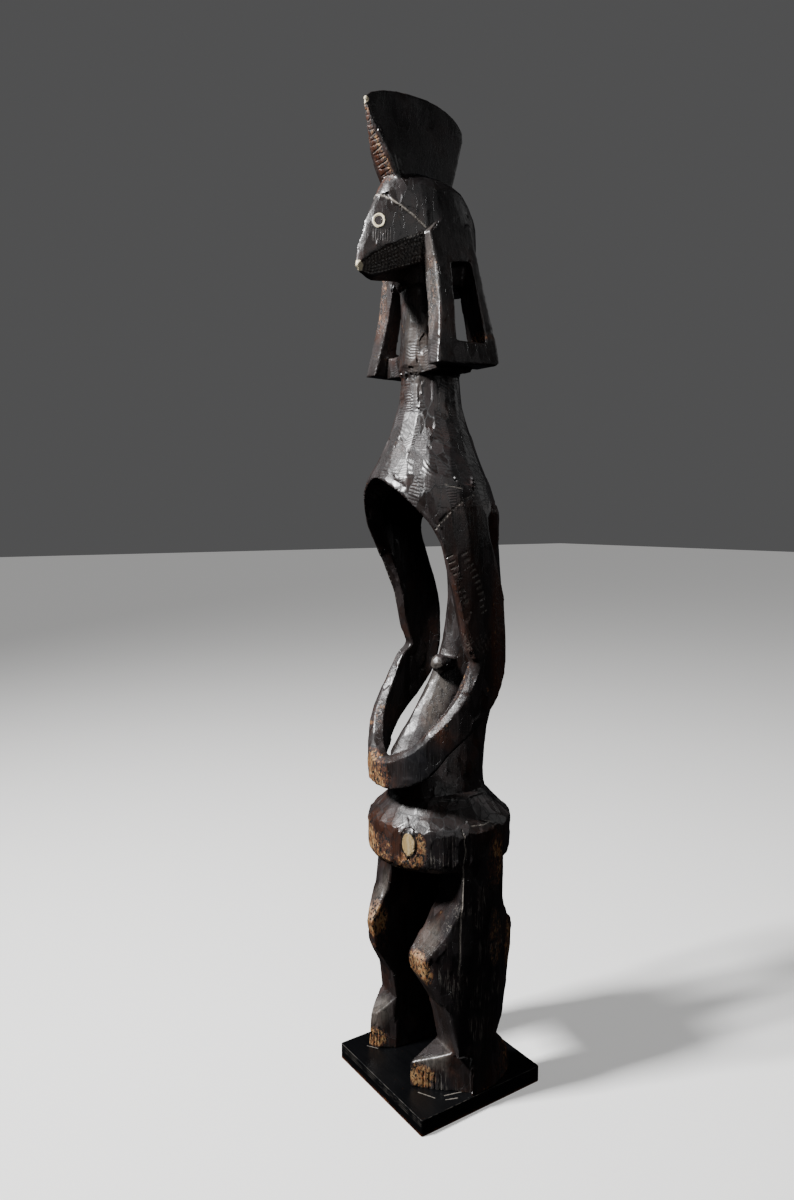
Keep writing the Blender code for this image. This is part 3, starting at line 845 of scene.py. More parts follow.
@dataclass
class Figure:
    """The carved figure: its surface is cut, furrowed, scarred and worn out of the solid's own."""

    effects: Effects
    voxel: float = 0.0017
    soften_passes: int = 5
    facet_triangles: int = 118000
    push_apart: float = 0.013
    blend: float = 0.0006
    meeting: float = 4.0
    bell_columns: int = 18
    sharp_from: float = 35.0
    deepest: float = 0.0014
    sole: float = 0.0203
    seed: int = 11
    eye_centre: Point = (11.6, -98.0, 1021.3)
    mouth: Point = (1.5, -120.0, 971.5)
    crest_tip: Point = (0.0, -107.5, 1147.5)
    refine_rounds: tuple = ((4.0, 2.6), (2.0, 1.6), (0.6, 0.9))
    log_radius: float = 87.5
    boss_centre: Point = (43.0, -76.0, 325.0)
    opening: tuple = (
        (398, 3, 3), (404, 13, 17), (418, 29, 36), (435, 38, 48), (452, 49, 60), (473, 63, 72),
        (490, 71, 79), (505, 78, 84), (516, 88, 87), (521, 89, 84), (543, 83, 78), (588, 76, 71),
        (624, 64, 64), (650, 50, 59),
        (676, 34, 49), (700, 26, 33), (710, 20, 25), (719, 11, 13), (724, 3, 3),
    )
    strokes: list[Stroke] = field(default_factory=list)
    wear: list[Patch] = field(default_factory=list)
    soot_and_shade: list[Patch] = field(default_factory=list)
    pale: list[Patch] = field(default_factory=list)
    brown: list[Patch] = field(default_factory=list)

    def build(self) -> bpy.types.Object:
        """Make the finished figure.

        Returns:
            The object that stands for the solid.
        """
        piece = self._rough_out()
        self._shape_edges(piece)
        self._cut_facets(piece)
        self._thin_out(piece)
        self._mark(piece)
        eyes = tuple(self._eye(side) for side in (1, -1))
        centre = Vector(self.boss_centre) * MM
        boss = Oval(tuple(centre), tuple(Vector((-centre.y, centre.x, 0.0)).normalized()), (0.0, 0.0, 1.0))
        finish = FigureWood(eyes, self._at(self.mouth), self._at(self.crest_tip), boss)
        piece.data.materials.clear()
        piece.data.materials.append(finish.make(self.effects))
        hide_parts("figure")
        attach(piece, "root")
        return piece

    @staticmethod
    def _at(point: Point) -> Point:
        """A point of the head, given in millimetres before the head's turn, in the plate's frame."""
        placed = Turn.HEAD.spin @ Vector(point)
        return tuple(placed * MM)

    def _eye(self, side: int) -> Oval:
        """The eye of one side, 1 being the left.

        Args:
            side: 1 or -1.

        Returns:
            The eye's place.
        """
        spin = Turn.HEAD.spin
        x, y, z = self.eye_centre
        across = spin @ Vector((side * 0.56, 0.83, 0.0)).normalized()
        up = spin @ Vector((side * -0.13, 0.05, 0.98)).normalized()
        return Oval(self._at((side * x, y, z)), tuple(across), tuple(up))

    def _rough_out(self) -> bpy.types.Object:
        """An even skin over the solid, its drawn ridges softened.

        Returns:
            The rough figure.
        """
        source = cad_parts["figure"]
        data = source.data.copy()
        mesh = bmesh.new()
        mesh.from_mesh(data)
        bmesh.ops.remove_doubles(mesh, verts=mesh.verts, dist=0.00001)
        mesh.to_mesh(data)
        mesh.free()
        rough = bpy.data.objects.new("rough_figure", data)
        bpy.context.scene.collection.objects.link(rough)
        skin = rough.modifiers.new("Skin", "REMESH")
        skin.mode = "VOXEL"
        skin.voxel_size = self.voxel * 1.0
        soften = rough.modifiers.new("Soften", "SMOOTH")
        soften.factor = 0.5
        soften.iterations = self.soften_passes
        return self._settled(rough, "carved_figure")

    @staticmethod
    def _settled(item: bpy.types.Object, name: str) -> bpy.types.Object:
        """The object with its modifiers applied, under a new name; the old one goes.

        Args:
            item: The object.
            name: The new name.

        Returns:
            The new object.
        """
        graph = bpy.context.evaluated_depsgraph_get()
        data = bpy.data.meshes.new_from_object(item.evaluated_get(graph))
        bpy.data.objects.remove(item)
        data.name = name
        piece = bpy.data.objects.new(name, data)
        bpy.context.scene.collection.objects.link(piece)
        return piece

    @staticmethod
    def _read(piece: bpy.types.Object) -> tuple[np.ndarray, np.ndarray]:
        """Positions and normals of the piece's vertices.

        Args:
            piece: The figure.

        Returns:
            The positions and the normals, one row each.
        """
        count = len(piece.data.vertices)
        places = np.empty(count * 3)
        piece.data.vertices.foreach_get("co", places)
        normals = np.empty(count * 3)
        piece.data.vertex_normals.foreach_get("vector", normals)
        return places.reshape(-1, 3), normals.reshape(-1, 3)

    def _write(self, piece: bpy.types.Object, places: np.ndarray) -> None:
        """Put the vertices in their new places, inside the solids' box and flat at the soles.

        Args:
            piece: The figure.
            places: The new positions.
        """
        low, high = (np.array(corner) for corner in CAD_BOX)
        places = np.clip(places, low, high)
        places[:, 2] = np.maximum(places[:, 2], self.sole)
        places[places[:, 2] < self.sole + 0.0009, 2] = self.sole
        piece.data.vertices.foreach_set("co", places.ravel())
        piece.data.update()

    def _shape_edges(self, piece: bpy.types.Object) -> None:
        """Bevel the arms' edges, round a lip along the arch, narrow the crest's tip and cut the boss.

        Args:
            piece: The figure.
        """
        places, normals = self._read(piece)
        h = above_sole(places)
        body = turned_back(places, Turn.BODY) / MM
        reach = np.hypot(body[:, 0], body[:, 1])
        turn = np.arctan2(body[:, 0], -body[:, 1])
        outward = np.column_stack((places[:, 0], places[:, 1], np.zeros(len(places)))) / MM / reach[:, None]
        facing = (outward * normals).sum(1)
        gap = np.full(len(places), 1e9)
        unrolled = np.column_stack((turn * self.log_radius, h))
        for side, column in ((-1, 1), (1, 2)):
            line = [(side * math.radians(row[column]) * self.log_radius, row[0]) for row in self.opening]
            for start, end in zip(line, line[1:]):
                a = np.array(start)
                run = np.array(end) - a
                share = np.clip((unrolled - a) @ run / (run @ run), 0.0, 1.0)
                gap = np.minimum(gap, np.linalg.norm(unrolled - a - share[:, None] * run, axis=1))
        shell = np.clip((reach - 69.0) / 18.5, 0.0, 1.0) * ramp(h, 390, 396)
        forearm = shell * (1.0 - ramp(h, 500, 525))
        upper = shell * ramp(h, 500, 525) * (1.0 - ramp(h, 650, 680))
        move = -forearm * np.maximum(0.0, 7.5 - gap) * 0.9 - upper * np.maximum(0.0, 3.5 - gap) * 0.7
        arch = ramp(h, 640, 668) * (1.0 - ramp(h, 745, 760)) * ramp(facing, 0.0, 0.3) * ramp(reach, 50, 60)
        lip = 1.0 - ramp(gap, 2.5, 6.0)
        groove = 1.0 - ramp(np.abs(gap - 8.5), 0.5, 3.5)
        move += arch * (0.8 * lip - 0.7 * groove)
        places = places + outward * (move * MM)[:, None]
        centre = np.array(self.boss_centre)
        across = np.hypot((places[:, 0] / MM - centre[0]) / 0.86, (places[:, 1] / MM - centre[1]) / 0.86)
        oval = np.hypot(across / 11.0, (places[:, 2] / MM - centre[2]) / 16.0)
        raised = (1.0 - ramp(oval, 0.88, 1.0)) * 1.4 - (1.0 - ramp(np.abs(oval - 1.14), 0.0, 0.14)) * 1.6
        places = places + outward * (raised * ramp(facing, 0.2, 0.5) * MM)[:, None]
        head = turned_back(places, Turn.HEAD)
        narrow = 1.0 - 0.52 * ramp(h, 1075, 1128) * (1.0 - ramp(head[:, 1] / MM, -100, -72))
        head[:, 0] *= narrow
        self._write(piece, turned(head, Turn.HEAD.value))

    def _cut_plan(self, places: np.ndarray, normals: np.ndarray) -> tuple[np.ndarray, np.ndarray, np.ndarray]:
        """How each place is faceted.

        Args:
            places: Positions.
            normals: Directions out of the surface.

        Returns:
            The facets' width in metres, their tilt in degrees and their depth in metres.
        """
        h = above_sole(places)
        head = turned_back(places, Turn.HEAD) / MM
        body = turned_back(places, Turn.BODY) / MM
        reach = np.hypot(body[:, 0], body[:, 1])
        width = np.full(len(places), 13.0)
        tilt = np.full(len(places), 3.0)
        depth = np.full(len(places), 0.25)

        def where(mask: np.ndarray, *values: float) -> None:
            """Set width, tilt and depth in a region."""
            for array, value in zip((width, tilt, depth), values):
                array[mask] = value

        arms = (h > 350) & (h < 700)
        where(arms & (reach > 70), 17.0, 1.4, 0.12)
        where(arms & (reach <= 70), 12.0, 3.6, 0.2)
        where((h >= 690) & (h < 846), 13.5, 3.2, 0.35)
        where((h >= 846) & (h < 950), 11.0, 6.0, 0.3)
        where((h >= 846) & (h < 1008) & (abs(head[:, 0]) > 36), 10.0, 1.6, 0.15)
        where((h > 936) & (h < 1058) & (head[:, 1] < -52), 10.0, 2.4, 0.2)
        where((h > 985) & (h < 1058) & (head[:, 1] >= -52), 11.0, 1.4, 0.15)
        where(h >= 1058, 19.0, 0.5, 0.05)
        where((h >= 1052) & (normals[:, 1] < -0.75), 7.0, 4.0, 0.25)
        where((h > 318) & (h < 362), 19.0, 3.6, 0.4)
        where((h > 268) & (h <= 318), 12.0, 5.0, 0.2)
        where(h <= 268, 22.0, 0.8, 0.1)
        where((h <= 268) & (normals[:, 1] < -0.35), 18.0, 1.4, 0.15)
        return width * MM, tilt, depth * MM

    def _keys(self, places: np.ndarray, normals: np.ndarray) -> np.ndarray:
        """Positions squeezed along the grain and pushed apart by facing, for finding facets.

        Args:
            places: Positions.
            normals: Directions out of the surface.

        Returns:
            The squeezed positions.
        """
        pushed = places + normals * self.push_apart
        bell = np.interp(pushed[:, 2], [0.0, 0.68, 0.866, 0.98, 1.3], [0.0, 0.340, 0.396, 0.476, 0.652])
        return np.column_stack((pushed[:, 0], pushed[:, 1], bell))

    def _bell_columns(self, places: np.ndarray, normals: np.ndarray) -> tuple[np.ndarray, list[int]]:
        """Facet centres in long upright columns round the bell of the shoulders.

        Args:
            places: Positions.
            normals: Directions out of the surface.

        Returns:
            Which vertices the columns cover, and the numbers of the vertices that are facet centres.
        """
        h = above_sole(places)
        body = turned_back(places, Turn.BODY) / MM
        reach = np.hypot(body[:, 0], body[:, 1])
        turn = np.arctan2(body[:, 0], -body[:, 1])
        facing = (places[:, 0] * normals[:, 0] + places[:, 1] * normals[:, 1]) / MM / reach
        covered = (h > 684) & (h < 848) & (facing > 0.3)
        spots = np.flatnonzero(covered)
        generator = np.random.default_rng(self.seed + 2)
        chosen = []
        for column in range(self.bell_columns):
            angle = 2 * math.pi * (column + generator.uniform(-0.12, 0.12)) / self.bell_columns
            level = 684.0 + generator.uniform(4.0, 30.0)
            while level < 846.0:
                off = np.angle(np.exp(1j * (turn[spots] - angle))) * 45.0
                chosen.append(int(spots[np.argmin(off * off + (h[spots] - level) ** 2)]))
                level += generator.uniform(24.0, 42.0)
        return covered, sorted(set(chosen))

    def _sow(self, keys: np.ndarray, width: np.ndarray, covered: np.ndarray) -> list[int]:
        """Facet centres, no two nearer than their width.

        Args:
            keys: The squeezed positions.
            width: The facet width wanted at each.
            covered: Which vertices have their facets already.

        Returns:
            Numbers of the vertices that are facet centres.
        """
        order = np.random.default_rng(self.seed).permutation(len(keys))[:70000]
        cell = 0.018
        cells: dict[tuple[int, int, int], list[int]] = {}
        chosen = []
        for index in order[~covered[order]]:
            key = keys[index]
            home = tuple(int(v) for v in np.floor(key / cell))
            near = [
                other
                for dx in (-1, 0, 1) for dy in (-1, 0, 1) for dz in (-1, 0, 1)
                for other in cells.get((home[0] + dx, home[1] + dy, home[2] + dz), ())
            ]
            if near:
                gaps = keys[near] - key
                if (gaps * gaps).sum(1).min() < (width[index] * 0.82) ** 2:
                    continue
            cells.setdefault(home, []).append(int(index))
            chosen.append(int(index))
        return chosen

    def _cut_facets(self, piece: bpy.types.Object) -> None:
        """Cut the surface into flats, each a little tilted, and furrow and roughen the wood.

        Args:
            piece: The figure.
        """
        places, normals = self._read(piece)
        width, tilt, depth = self._cut_plan(places, normals)
        keys = self._keys(places, normals)
        covered, seeds = self._bell_columns(places, normals)
        seeds += self._sow(keys, width, covered)
        tree = KDTree(len(seeds))
        for number, index in enumerate(seeds):
            tree.insert(keys[index], number)
        tree.balance()
        found = [tree.find_n(key, 3) for key in keys]
        index = np.array([[hit[1] for hit in hits] for hits in found])
        gap = np.array([[hit[2] for hit in hits] for hits in found])
        generator = np.random.default_rng(self.seed + 1)
        centre = places[seeds]
        facing = normals[seeds]
        level = np.cross(np.array([0.0, 0.0, 1.0]), facing) + 1e-6
        level /= np.linalg.norm(level, axis=1)[:, None]
        rise = np.cross(facing, level)
        lean = np.tan(np.radians(tilt[seeds]))
        facing = (
            facing + level * (lean * generator.uniform(-1, 1, len(seeds)))[:, None]
            + rise * (0.45 * lean * generator.uniform(-1, 1, len(seeds)))[:, None]
        )
        facing /= np.linalg.norm(facing, axis=1)[:, None]
        sunk = depth[seeds] * generator.uniform(0.8, 1.3, len(seeds))
        lifts = np.zeros(gap.shape)
        for choice in range(3):
            at = index[:, choice]
            lift = ((centre[at] - places) * facing[at]).sum(1) - sunk[at]
            alike = (normals * facing[at]).sum(1)
            lifts[:, choice] = lift * ramp(alike, 0.80, 0.94) / np.maximum(alike, 0.6)
        score = gap + self.meeting * np.clip(lifts, -0.5 * MM, 0.5 * MM) + 5 * MM * (lifts < -0.9 * MM)
        weight = np.exp(-(score - score.min(1)[:, None]) / self.blend)
        weight /= weight.sum(1)[:, None]
        shift = (weight * lifts).sum(1) * np.clip(depth / MM / 0.25, 0.0, 1.0)
        shift = np.clip(shift, -self.deepest, self.deepest * 0.6)
        shift += 0.35 * MM * lattice_noise(places, (0.028, 0.028, 0.05), 3)
        shift += self._roughness(places, normals)
        self._write(piece, places + normals * shift[:, None])
        tone = generator.uniform(0, 1, len(seeds))
        slab = (weight * tone[index]).sum(1)
        marks = np.column_stack((slab, slab, slab, np.clip(depth / MM / 0.35, 0.0, 1.0)))
        store = piece.data.attributes.new("Facet", "FLOAT_COLOR", "POINT")
        store.data.foreach_set("color", marks.ravel())
        log.info("figure: %d facets on %d vertices", len(seeds), len(places))

    def _roughness(self, places: np.ndarray, normals: np.ndarray) -> np.ndarray:
        """Furrows along the grain of the legs and the hip disc, and crumbling where it is worn.

        Args:
            places: Positions.
            normals: Directions out of the surface.

        Returns:
            How far each place moves out, in metres.
        """
        h = above_sole(places)
        upright = 1.0 - ramp(np.abs(normals[:, 2]), 0.3, 0.7)
        legs = (1.0 - ramp(h, 318, 330)) * upright * (1.0 - 0.75 * ramp(-normals[:, 1], 0.3, 0.7))
        furrow = lattice_noise(places, (0.0055, 0.0055, 0.07), 5)
        split = 1.0 - ramp(np.abs(lattice_noise(places, (0.011, 0.011, 0.11), 6)), 0.0, 0.10)
        split *= ramp(lattice_noise(places, (0.03, 0.03, 0.09), 7), 0.0, 0.25)
        move = legs * (0.28 * furrow - 1.0 * split)
        worn = self._share_of(self.wear, places)
        crumble = lattice_noise(places, (0.0045, 0.0045, 0.008), 8)
        move += worn * 0.55 * crumble
        return move * MM

    @staticmethod
    def _share_of(patches: list[Patch], places: np.ndarray) -> np.ndarray:
        """The strongest share of these patches that each place has.

        Args:
            patches: The patches.
            places: Positions, in metres.

        Returns:
            A share for each place, from 0 up.
        """
        share = np.zeros(len(places))
        for patch in patches:
            share = np.maximum(share, patch.share(places / MM))
        return share

    def _thin_out(self, piece: bpy.types.Object) -> None:
        """Bring the flats down to fewer triangles; edges and furrows keep theirs.

        Args:
            piece: The figure.
        """
        piece.data.calc_loop_triangles()
        count = len(piece.data.loop_triangles)
        if count <= self.facet_triangles:
            return
        thin = piece.modifiers.new("Thin", "DECIMATE")
        thin.ratio = self.facet_triangles / count
        self._apply(piece)

    @staticmethod
    def _apply(piece: bpy.types.Object) -> None:
        """Make the modifiers' result the piece's own mesh.

        Args:
            piece: The figure.
        """
        graph = bpy.context.evaluated_depsgraph_get()
        before = piece.data
        piece.data = bpy.data.meshes.new_from_object(piece.evaluated_get(graph))
        piece.modifiers.clear()
        name = before.name
        bpy.data.meshes.remove(before)
        piece.data.name = name

    def _refine(self, piece: bpy.types.Object, carving: Carving) -> None:
        """Split the faces near the strokes until they can hold them.

        Args:
            piece: The figure.
            carving: The strokes laid on it.
        """
        mesh = bmesh.new()
        mesh.from_mesh(piece.data)
        for margin, finest in self.refine_rounds:
            near = carving.cut(np.array([vert.co for vert in mesh.verts]))[0] < margin * MM
            edges = [
                edge for edge in mesh.edges
                if any(near[vert.index] for vert in edge.verts) and edge.calc_length() > finest * MM
            ]
            bmesh.ops.subdivide_edges(mesh, edges=edges, cuts=1, use_grid_fill=True)
            bmesh.ops.triangulate(mesh, faces=[face for face in mesh.faces if len(face.verts) > 3])
            mesh.verts.index_update()
        mesh.to_mesh(piece.data)
        mesh.free()

    def _mark(self, piece: bpy.types.Object) -> None:
        """Cut the strokes; store wear, pale marks and painted light, soot and painted shade, and brownness on
        the vertices.

        Args:
            piece: The figure.
        """
        mesh = bmesh.new()
        mesh.from_mesh(piece.data)
        carving = Carving(self.strokes, BVHTree.FromBMesh(mesh))
        mesh.free()
        self._refine(piece, carving)
        places, normals = self._read(piece)
        _, depth, pale = carving.cut(places)
        self._write(piece, places - normals * depth[:, None])
        h = above_sole(places)
        head = turned_back(places, Turn.HEAD) / MM
        worn = np.maximum(self._share_of(self.wear, places), self._edge_wear(piece, places, normals))
        # Soot and painted shade: a charcoal tone on the crest's sides, painted shade on the downward-facing
        # jaw band, and the painted-shade patches.
        crest = ramp(h, 1050, 1058) * ramp(np.abs(normals[:, 0]), 0.5, 0.8)
        jaw = (1.0 - ramp(h, 955, 985)) * ramp(h, 925, 936) * (1.0 - ramp(head[:, 1], -60, -50))
        soot_and_shade = np.clip(0.6 * crest + 0.15 * jaw + self._share_of(self.soot_and_shade, places), 0.0, 1.0)
        # The pale patches are dust and painted light: they count only on fronts facing the key lamp (feet,
        # thighs, ear strips, neck, torso).
        pale = np.maximum(pale, self._share_of(self.pale, places) * ramp(-normals[:, 1], 0.4, 0.6))
        brown = self._share_of(self.brown, places)
        marks = np.column_stack((worn, pale, soot_and_shade, brown))
        store = piece.data.attributes.new("Finish", "FLOAT_COLOR", "POINT")
        store.data.foreach_set("color", marks.ravel())
        for polygon in piece.data.polygons:
            polygon.use_smooth = True
        piece.data.set_sharp_from_angle(angle=math.radians(self.sharp_from))
        even = piece.modifiers.new("Even", "WEIGHTED_NORMAL")
        even.mode = "FACE_AREA"
        even.weight = 50
        even.keep_sharp = True
        self._apply(piece)

    @staticmethod
    def _edge_wear(piece: bpy.types.Object, places: np.ndarray, normals: np.ndarray) -> np.ndarray:
        """Light wear along edges that stand out.

        Args:
            piece: The figure.
            places: Its vertices' positions.
            normals: Directions out of the surface.

        Returns:
            The wear at each vertex, from 0 to about 0.5.
        """
        ends = np.empty(len(piece.data.edges) * 2, dtype=np.int64)
        piece.data.edges.foreach_get("vertices", ends)
        ends = ends.reshape(-1, 2)
        count = np.bincount(ends.ravel(), minlength=len(places))
        bend = np.zeros(len(places))
        for axis in range(3):
            run = places[ends[:, 1], axis] - places[ends[:, 0], axis]
            pull = np.bincount(ends[:, 0], run, len(places)) - np.bincount(ends[:, 1], run, len(places))
            bend -= pull * normals[:, axis]
        bend /= np.maximum(count, 1)
        for _ in range(3):
            total = np.bincount(ends[:, 0], bend[ends[:, 1]], len(places))
            total += np.bincount(ends[:, 1], bend[ends[:, 0]], len(places))
            bend = 0.5 * bend + 0.5 * total / np.maximum(count, 1)
        return 0.5 * ramp(bend / MM, 0.22, 0.6)


@dataclass
class BasePlate:
    """The square black plate under the figure."""

    effects: Effects

    def dress(self) -> bpy.types.Object:
        """Give the plate's solid its finish.

        Returns:
            The solid.
        """
        low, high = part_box("base_plate")
        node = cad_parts["base_plate"]
        node.data.materials.clear()
        node.data.materials.append(PlatePaint(high.x, high.z - low.z).make(self.effects))
        return node


@dataclass(frozen=True)
class Lamp:
    """A soft rectangular light that faces its target, its beam spread over so many degrees."""

    name: str
    place: Point
    target: Point
    size: tuple[float, float]
    power: float
    spread: float = 120.0

    def light(self) -> None:
        """Set the light up."""
        data = bpy.data.lights.new(self.name, "AREA")
        data.shape = "RECTANGLE"
        data.size, data.size_y = self.size
        data.energy = self.power
        data.spread = math.radians(self.spread)
        item = bpy.data.objects.new(self.name, data)
        item.location = self.place
        aim = Vector(self.target) - Vector(self.place)
        item.rotation_euler = aim.to_track_quat("-Z", "Y").to_euler()
        bpy.context.scene.collection.objects.link(item)


@dataclass
class Studio:
    """The floor, the soft lights and the camera."""

    camera_place: Point = (0.8473, -0.6368, 0.7025)
    camera_azimuth: float = 55.8871
    camera_pitch: float = 5.5252
    lens: float = 26.4
    sensor_width: float = 36.0
    floor_size: float = 30.0
    floor_roughness: float = 0.85
    floor_glow: float = 0.45
    lamps: tuple[Lamp, ...] = (
        Lamp("key", (-0.50, -2.00, 2.62), (0.0, 0.0, 0.80), (0.42, 0.42), 145.0),
        Lamp("left", (-1.60, -0.50, 1.75), (0.0, 0.0, 0.66), (0.8, 1.2), 1.0),
        Lamp("right", (2.30, -0.30, 1.90), (0.0, 0.0, 0.85), (2.0, 2.0), 6.0),
        Lamp("back", (0.50, 2.20, 1.70), (0.0, 0.0, 0.70), (1.4, 1.8), 2.2),
    )

    def build(self) -> None:
        """Set everything up."""
        self._floor()
        self._world()
        for lamp in self.lamps:
            lamp.light()
        self._camera()

    def _floor(self) -> None:
        """A plain pale floor at the plate's underside."""
        data = bpy.data.meshes.new("floor")
        mesh = bmesh.new()
        bmesh.ops.create_grid(mesh, x_segments=1, y_segments=1, size=self.floor_size / 2)
        mesh.to_mesh(data)
        mesh.free()
        floor = bpy.data.objects.new("floor", data)
        bpy.context.scene.collection.objects.link(floor)
        material = bpy.data.materials.new("floor")
        material.use_nodes = True
        Sheet(material.node_tree).feed(material.node_tree.nodes["Principled BSDF"], {
            "Base Color": rgba(Tone.FLOOR), "Roughness": self.floor_roughness,
            "Emission Color": rgba(Tone.FLOOR), "Emission Strength": self.floor_glow,
        })
        floor.data.materials.append(material)
        floor.visible_glossy = False
        floor.visible_diffuse = False

    def _world(self) -> None:
        """A plain soft surround."""
        world = bpy.data.worlds.new("studio")
        world.use_nodes = True
        sheet = Sheet(world.node_tree)
        seen = sheet.put("LightPath").outputs["Is Camera Ray"]
        colour = sheet.mix(seen, rgba(Tone.SURROUND), rgba(Tone.BACKDROP))
        sheet.feed(world.node_tree.nodes["Background"], {"Color": colour})
        bpy.context.scene.world = world

    def _camera(self) -> None:
        """The camera at the photograph's viewing angle."""
        data = bpy.data.cameras.new("camera")
        data.lens = self.lens
        data.sensor_width = self.sensor_width
        item = bpy.data.objects.new("camera", data)
        item.location = self.camera_place
        item.rotation_euler = (math.radians(90.0 - self.camera_pitch), 0.0, math.radians(self.camera_azimuth))
        bpy.context.scene.collection.objects.link(item)
        bpy.context.scene.camera = item


@dataclass
class Markings:
    """The lines cut on the figure: heights in the head and the body are measured above the sole."""

    jaw_upper: tuple = ((4, -113, 956), (12, -104, 964), (20, -89, 973), (29, -71.5, 984), (36, -54, 991))
    jaw_lower: tuple = ((2, -114, 948), (8, -105, 945), (17, -87, 950), (23, -71, 956), (28, -54, 962))
    jaw_lines: int = 7
    hairline: tuple = (
        (0, -93, 1033), (5, -94, 1031), (11, -89.5, 1028.5), (17, -83.5, 1023.5), (24, -75, 1016),
        (31, -64, 1007), (37, -52, 995),
    )
    eye_centre: tuple = (11.2, -97.6, 1001.1)
    eye_across: tuple = (0.56, 0.83, 0.0)
    eye_half: tuple = (6.2, 7.2)
    crest_foot: tuple = (0, -75, 1052)
    crest_head: tuple = (0, -109, 1129)
    crest_cuts: int = 17
    ladder_inner: tuple = ((76.7, -44.3, 657), (81.0, -36.3, 636), (83.1, -29.3, 612), (85.1, -22.1, 587))
    ladder_outer: tuple = ((82.6, -30.8, 663), (86.2, -17.9, 640), (87.4, -7.0, 614), (87.8, -2.7, 591))
    ladder_rungs: int = 11
    scar: tuple = ((78.7, -14.1, 724.5), (79.2, -24.4, 720.0), (78.4, -34.9, 713.3), (76.7, -43.3, 706.7),
                   (74.2, -48.3, 700.2), (71.5, -53.0, 694.7), (68.9, -56.6, 689.2), (67.4, -58.1, 684.9))
    scratch: tuple = ((69.5, -46.3, 735.2), (73.4, -36.8, 733.1), (76.1, -27.7, 731.0))
    elbow: tuple = (86.0, -14.0, 556.0)
    disc_scratch: tuple = ((80.6, -14.0, 345.6), (82.6, 3.0, 344.6), (80.0, 15.9, 345.5), (77.6, 4.5, 348.6))
    crack: tuple = (
        (79.3, -26.7, 343), (83.7, -24.1, 320), (82.5, -27, 285), (83, -29, 250), (83.1, -31.5, 215),
        (83.8, -31.8, 191), (82.1, -33.2, 172),
    )
    arm_ridge: tuple = ((87.2, -2.0, 540), (87.3, -7.0, 493.5), (87.2, -8.1, 470.6), (86.5, -10, 450))
    toe_rows: tuple = (
        ((39.3, -59.2, 40.0), (64.0, -36.0, 38.0), 4), ((-63.0, -66.0, 40.0), (-49.0, -57.0, 38.0), 3),
    )

    def all(self) -> list[Stroke]:
        """Every stroke of the figure."""
        return [
            *self.jaw(), *self.brow(), *self.eyes(), *self.crest(), *self.ladder(), *self.shoulder(),
            *self.elbow_hatch(), *self.toes(), *self.cracks(),
        ]

    def _raised(self, points: tuple) -> tuple:
        """The points with their heights above the sole made heights in the plate's frame."""
        return tuple((x, y, z + SOLE_LEVEL) for x, y, z in points)

    def jaw(self) -> list[Stroke]:
        """The striated band along the jaw, with slanting cuts across it.

        Returns:
            The strokes.
        """
        upper = np.array(self._raised(self.jaw_upper))
        lower = np.array(self._raised(self.jaw_lower))
        strokes = []
        for number in range(self.jaw_lines):
            share = number / (self.jaw_lines - 1)
            row = lower + (upper - lower) * share
            strokes.append(Stroke(tuple(map(tuple, row)), 1.3, 0.55, 0.6, 4.0, Turn.HEAD, True))
        for share in np.linspace(0.06, 0.98, 17):
            low = self._along(lower, share)
            high = self._along(upper, min(share + 0.07, 1.0))
            strokes.append(Stroke((low, high), 0.9, 0.45, 0.3, 0.0, Turn.HEAD, True))
        return strokes

    @staticmethod
    def _along(line: np.ndarray, share: float) -> tuple:
        """The point at this share of a line's length."""
        runs = np.concatenate(([0.0], np.cumsum(np.linalg.norm(np.diff(line, axis=0), axis=1))))
        return tuple(np.interp(share * runs[-1], runs, line[:, axis]) for axis in range(3))

    def brow(self) -> list[Stroke]:
        """The raised hairline over the forehead and temples."""
        return [Stroke(self._raised(self.hairline), 1.8, -0.8, 0.85, 0.0, Turn.HEAD, True)]

    def eyes(self) -> list[Stroke]:
        """A raised oval ring round each eye, and short upright cuts under it.

        Returns:
            The strokes.
        """
        x, y, z = self.eye_centre
        across = Vector(self.eye_across).normalized()
        half_width, half_height = self.eye_half
        ring = []
        for step in range(25):
            angle = 2 * math.pi * step / 24
            ring.append(tuple(
                Vector((x, y, z + SOLE_LEVEL)) + across * half_width * math.sin(angle)
                + Vector((0, 0, half_height * math.cos(angle)))
            ))
        strokes = [Stroke(tuple(ring), 1.9, -0.75, 0.0, 0.0, Turn.HEAD, True)]
        for number in range(8):
            top = Vector((x, y, z + SOLE_LEVEL - half_height - 2.5)) + across * (number - 2.5) * 2.6
            low = top + Vector((0.0, 0.0, -13.0)) - across * 0.5
            strokes.append(Stroke((tuple(top), tuple(low)), 1.1, 0.4, 0.12, 0.0, Turn.HEAD, True))
        return strokes

    def crest(self) -> list[Stroke]:
        """Level knife cuts up the crest's front face.

        Returns:
            The strokes.
        """
        strokes = []
        foot = Vector(self._raised((self.crest_foot,))[0])
        head = Vector(self._raised((self.crest_head,))[0])
        for number in range(self.crest_cuts):
            middle = foot.lerp(head, (number + 0.5) / self.crest_cuts)
            lean = 1.5 * math.sin(2.3 * number)
            line = ((-9.0, middle.y, middle.z - lean), (9.0, middle.y, middle.z + lean))
            strokes.append(Stroke(line, 1.3, 0.6, 0.45 * (number % 3 == 0), 0.0, Turn.HEAD))
        return strokes

    def ladder(self) -> list[Stroke]:
        """Two staggered columns of short slanting cuts down the left upper arm, and the same opposite.

        Returns:
            The strokes.
        """
        strokes = []
        for column, stagger in ((self.ladder_inner, 0.0), (self.ladder_outer, 0.5)):
            line = np.array(column)
            for number in range(self.ladder_rungs):
                middle = Vector(self._along(line, (number + stagger) / self.ladder_rungs))
                run = Vector((-middle.y, middle.x, 0.0)).normalized() * 3.6
                rise = Vector((0.0, 0.0, 1.6))
                line_ends = (tuple(middle - run - rise), tuple(middle + run + rise))
                strokes.append(Stroke(line_ends, 1.2, 0.6, 0.5, mirrored=True))
        return strokes

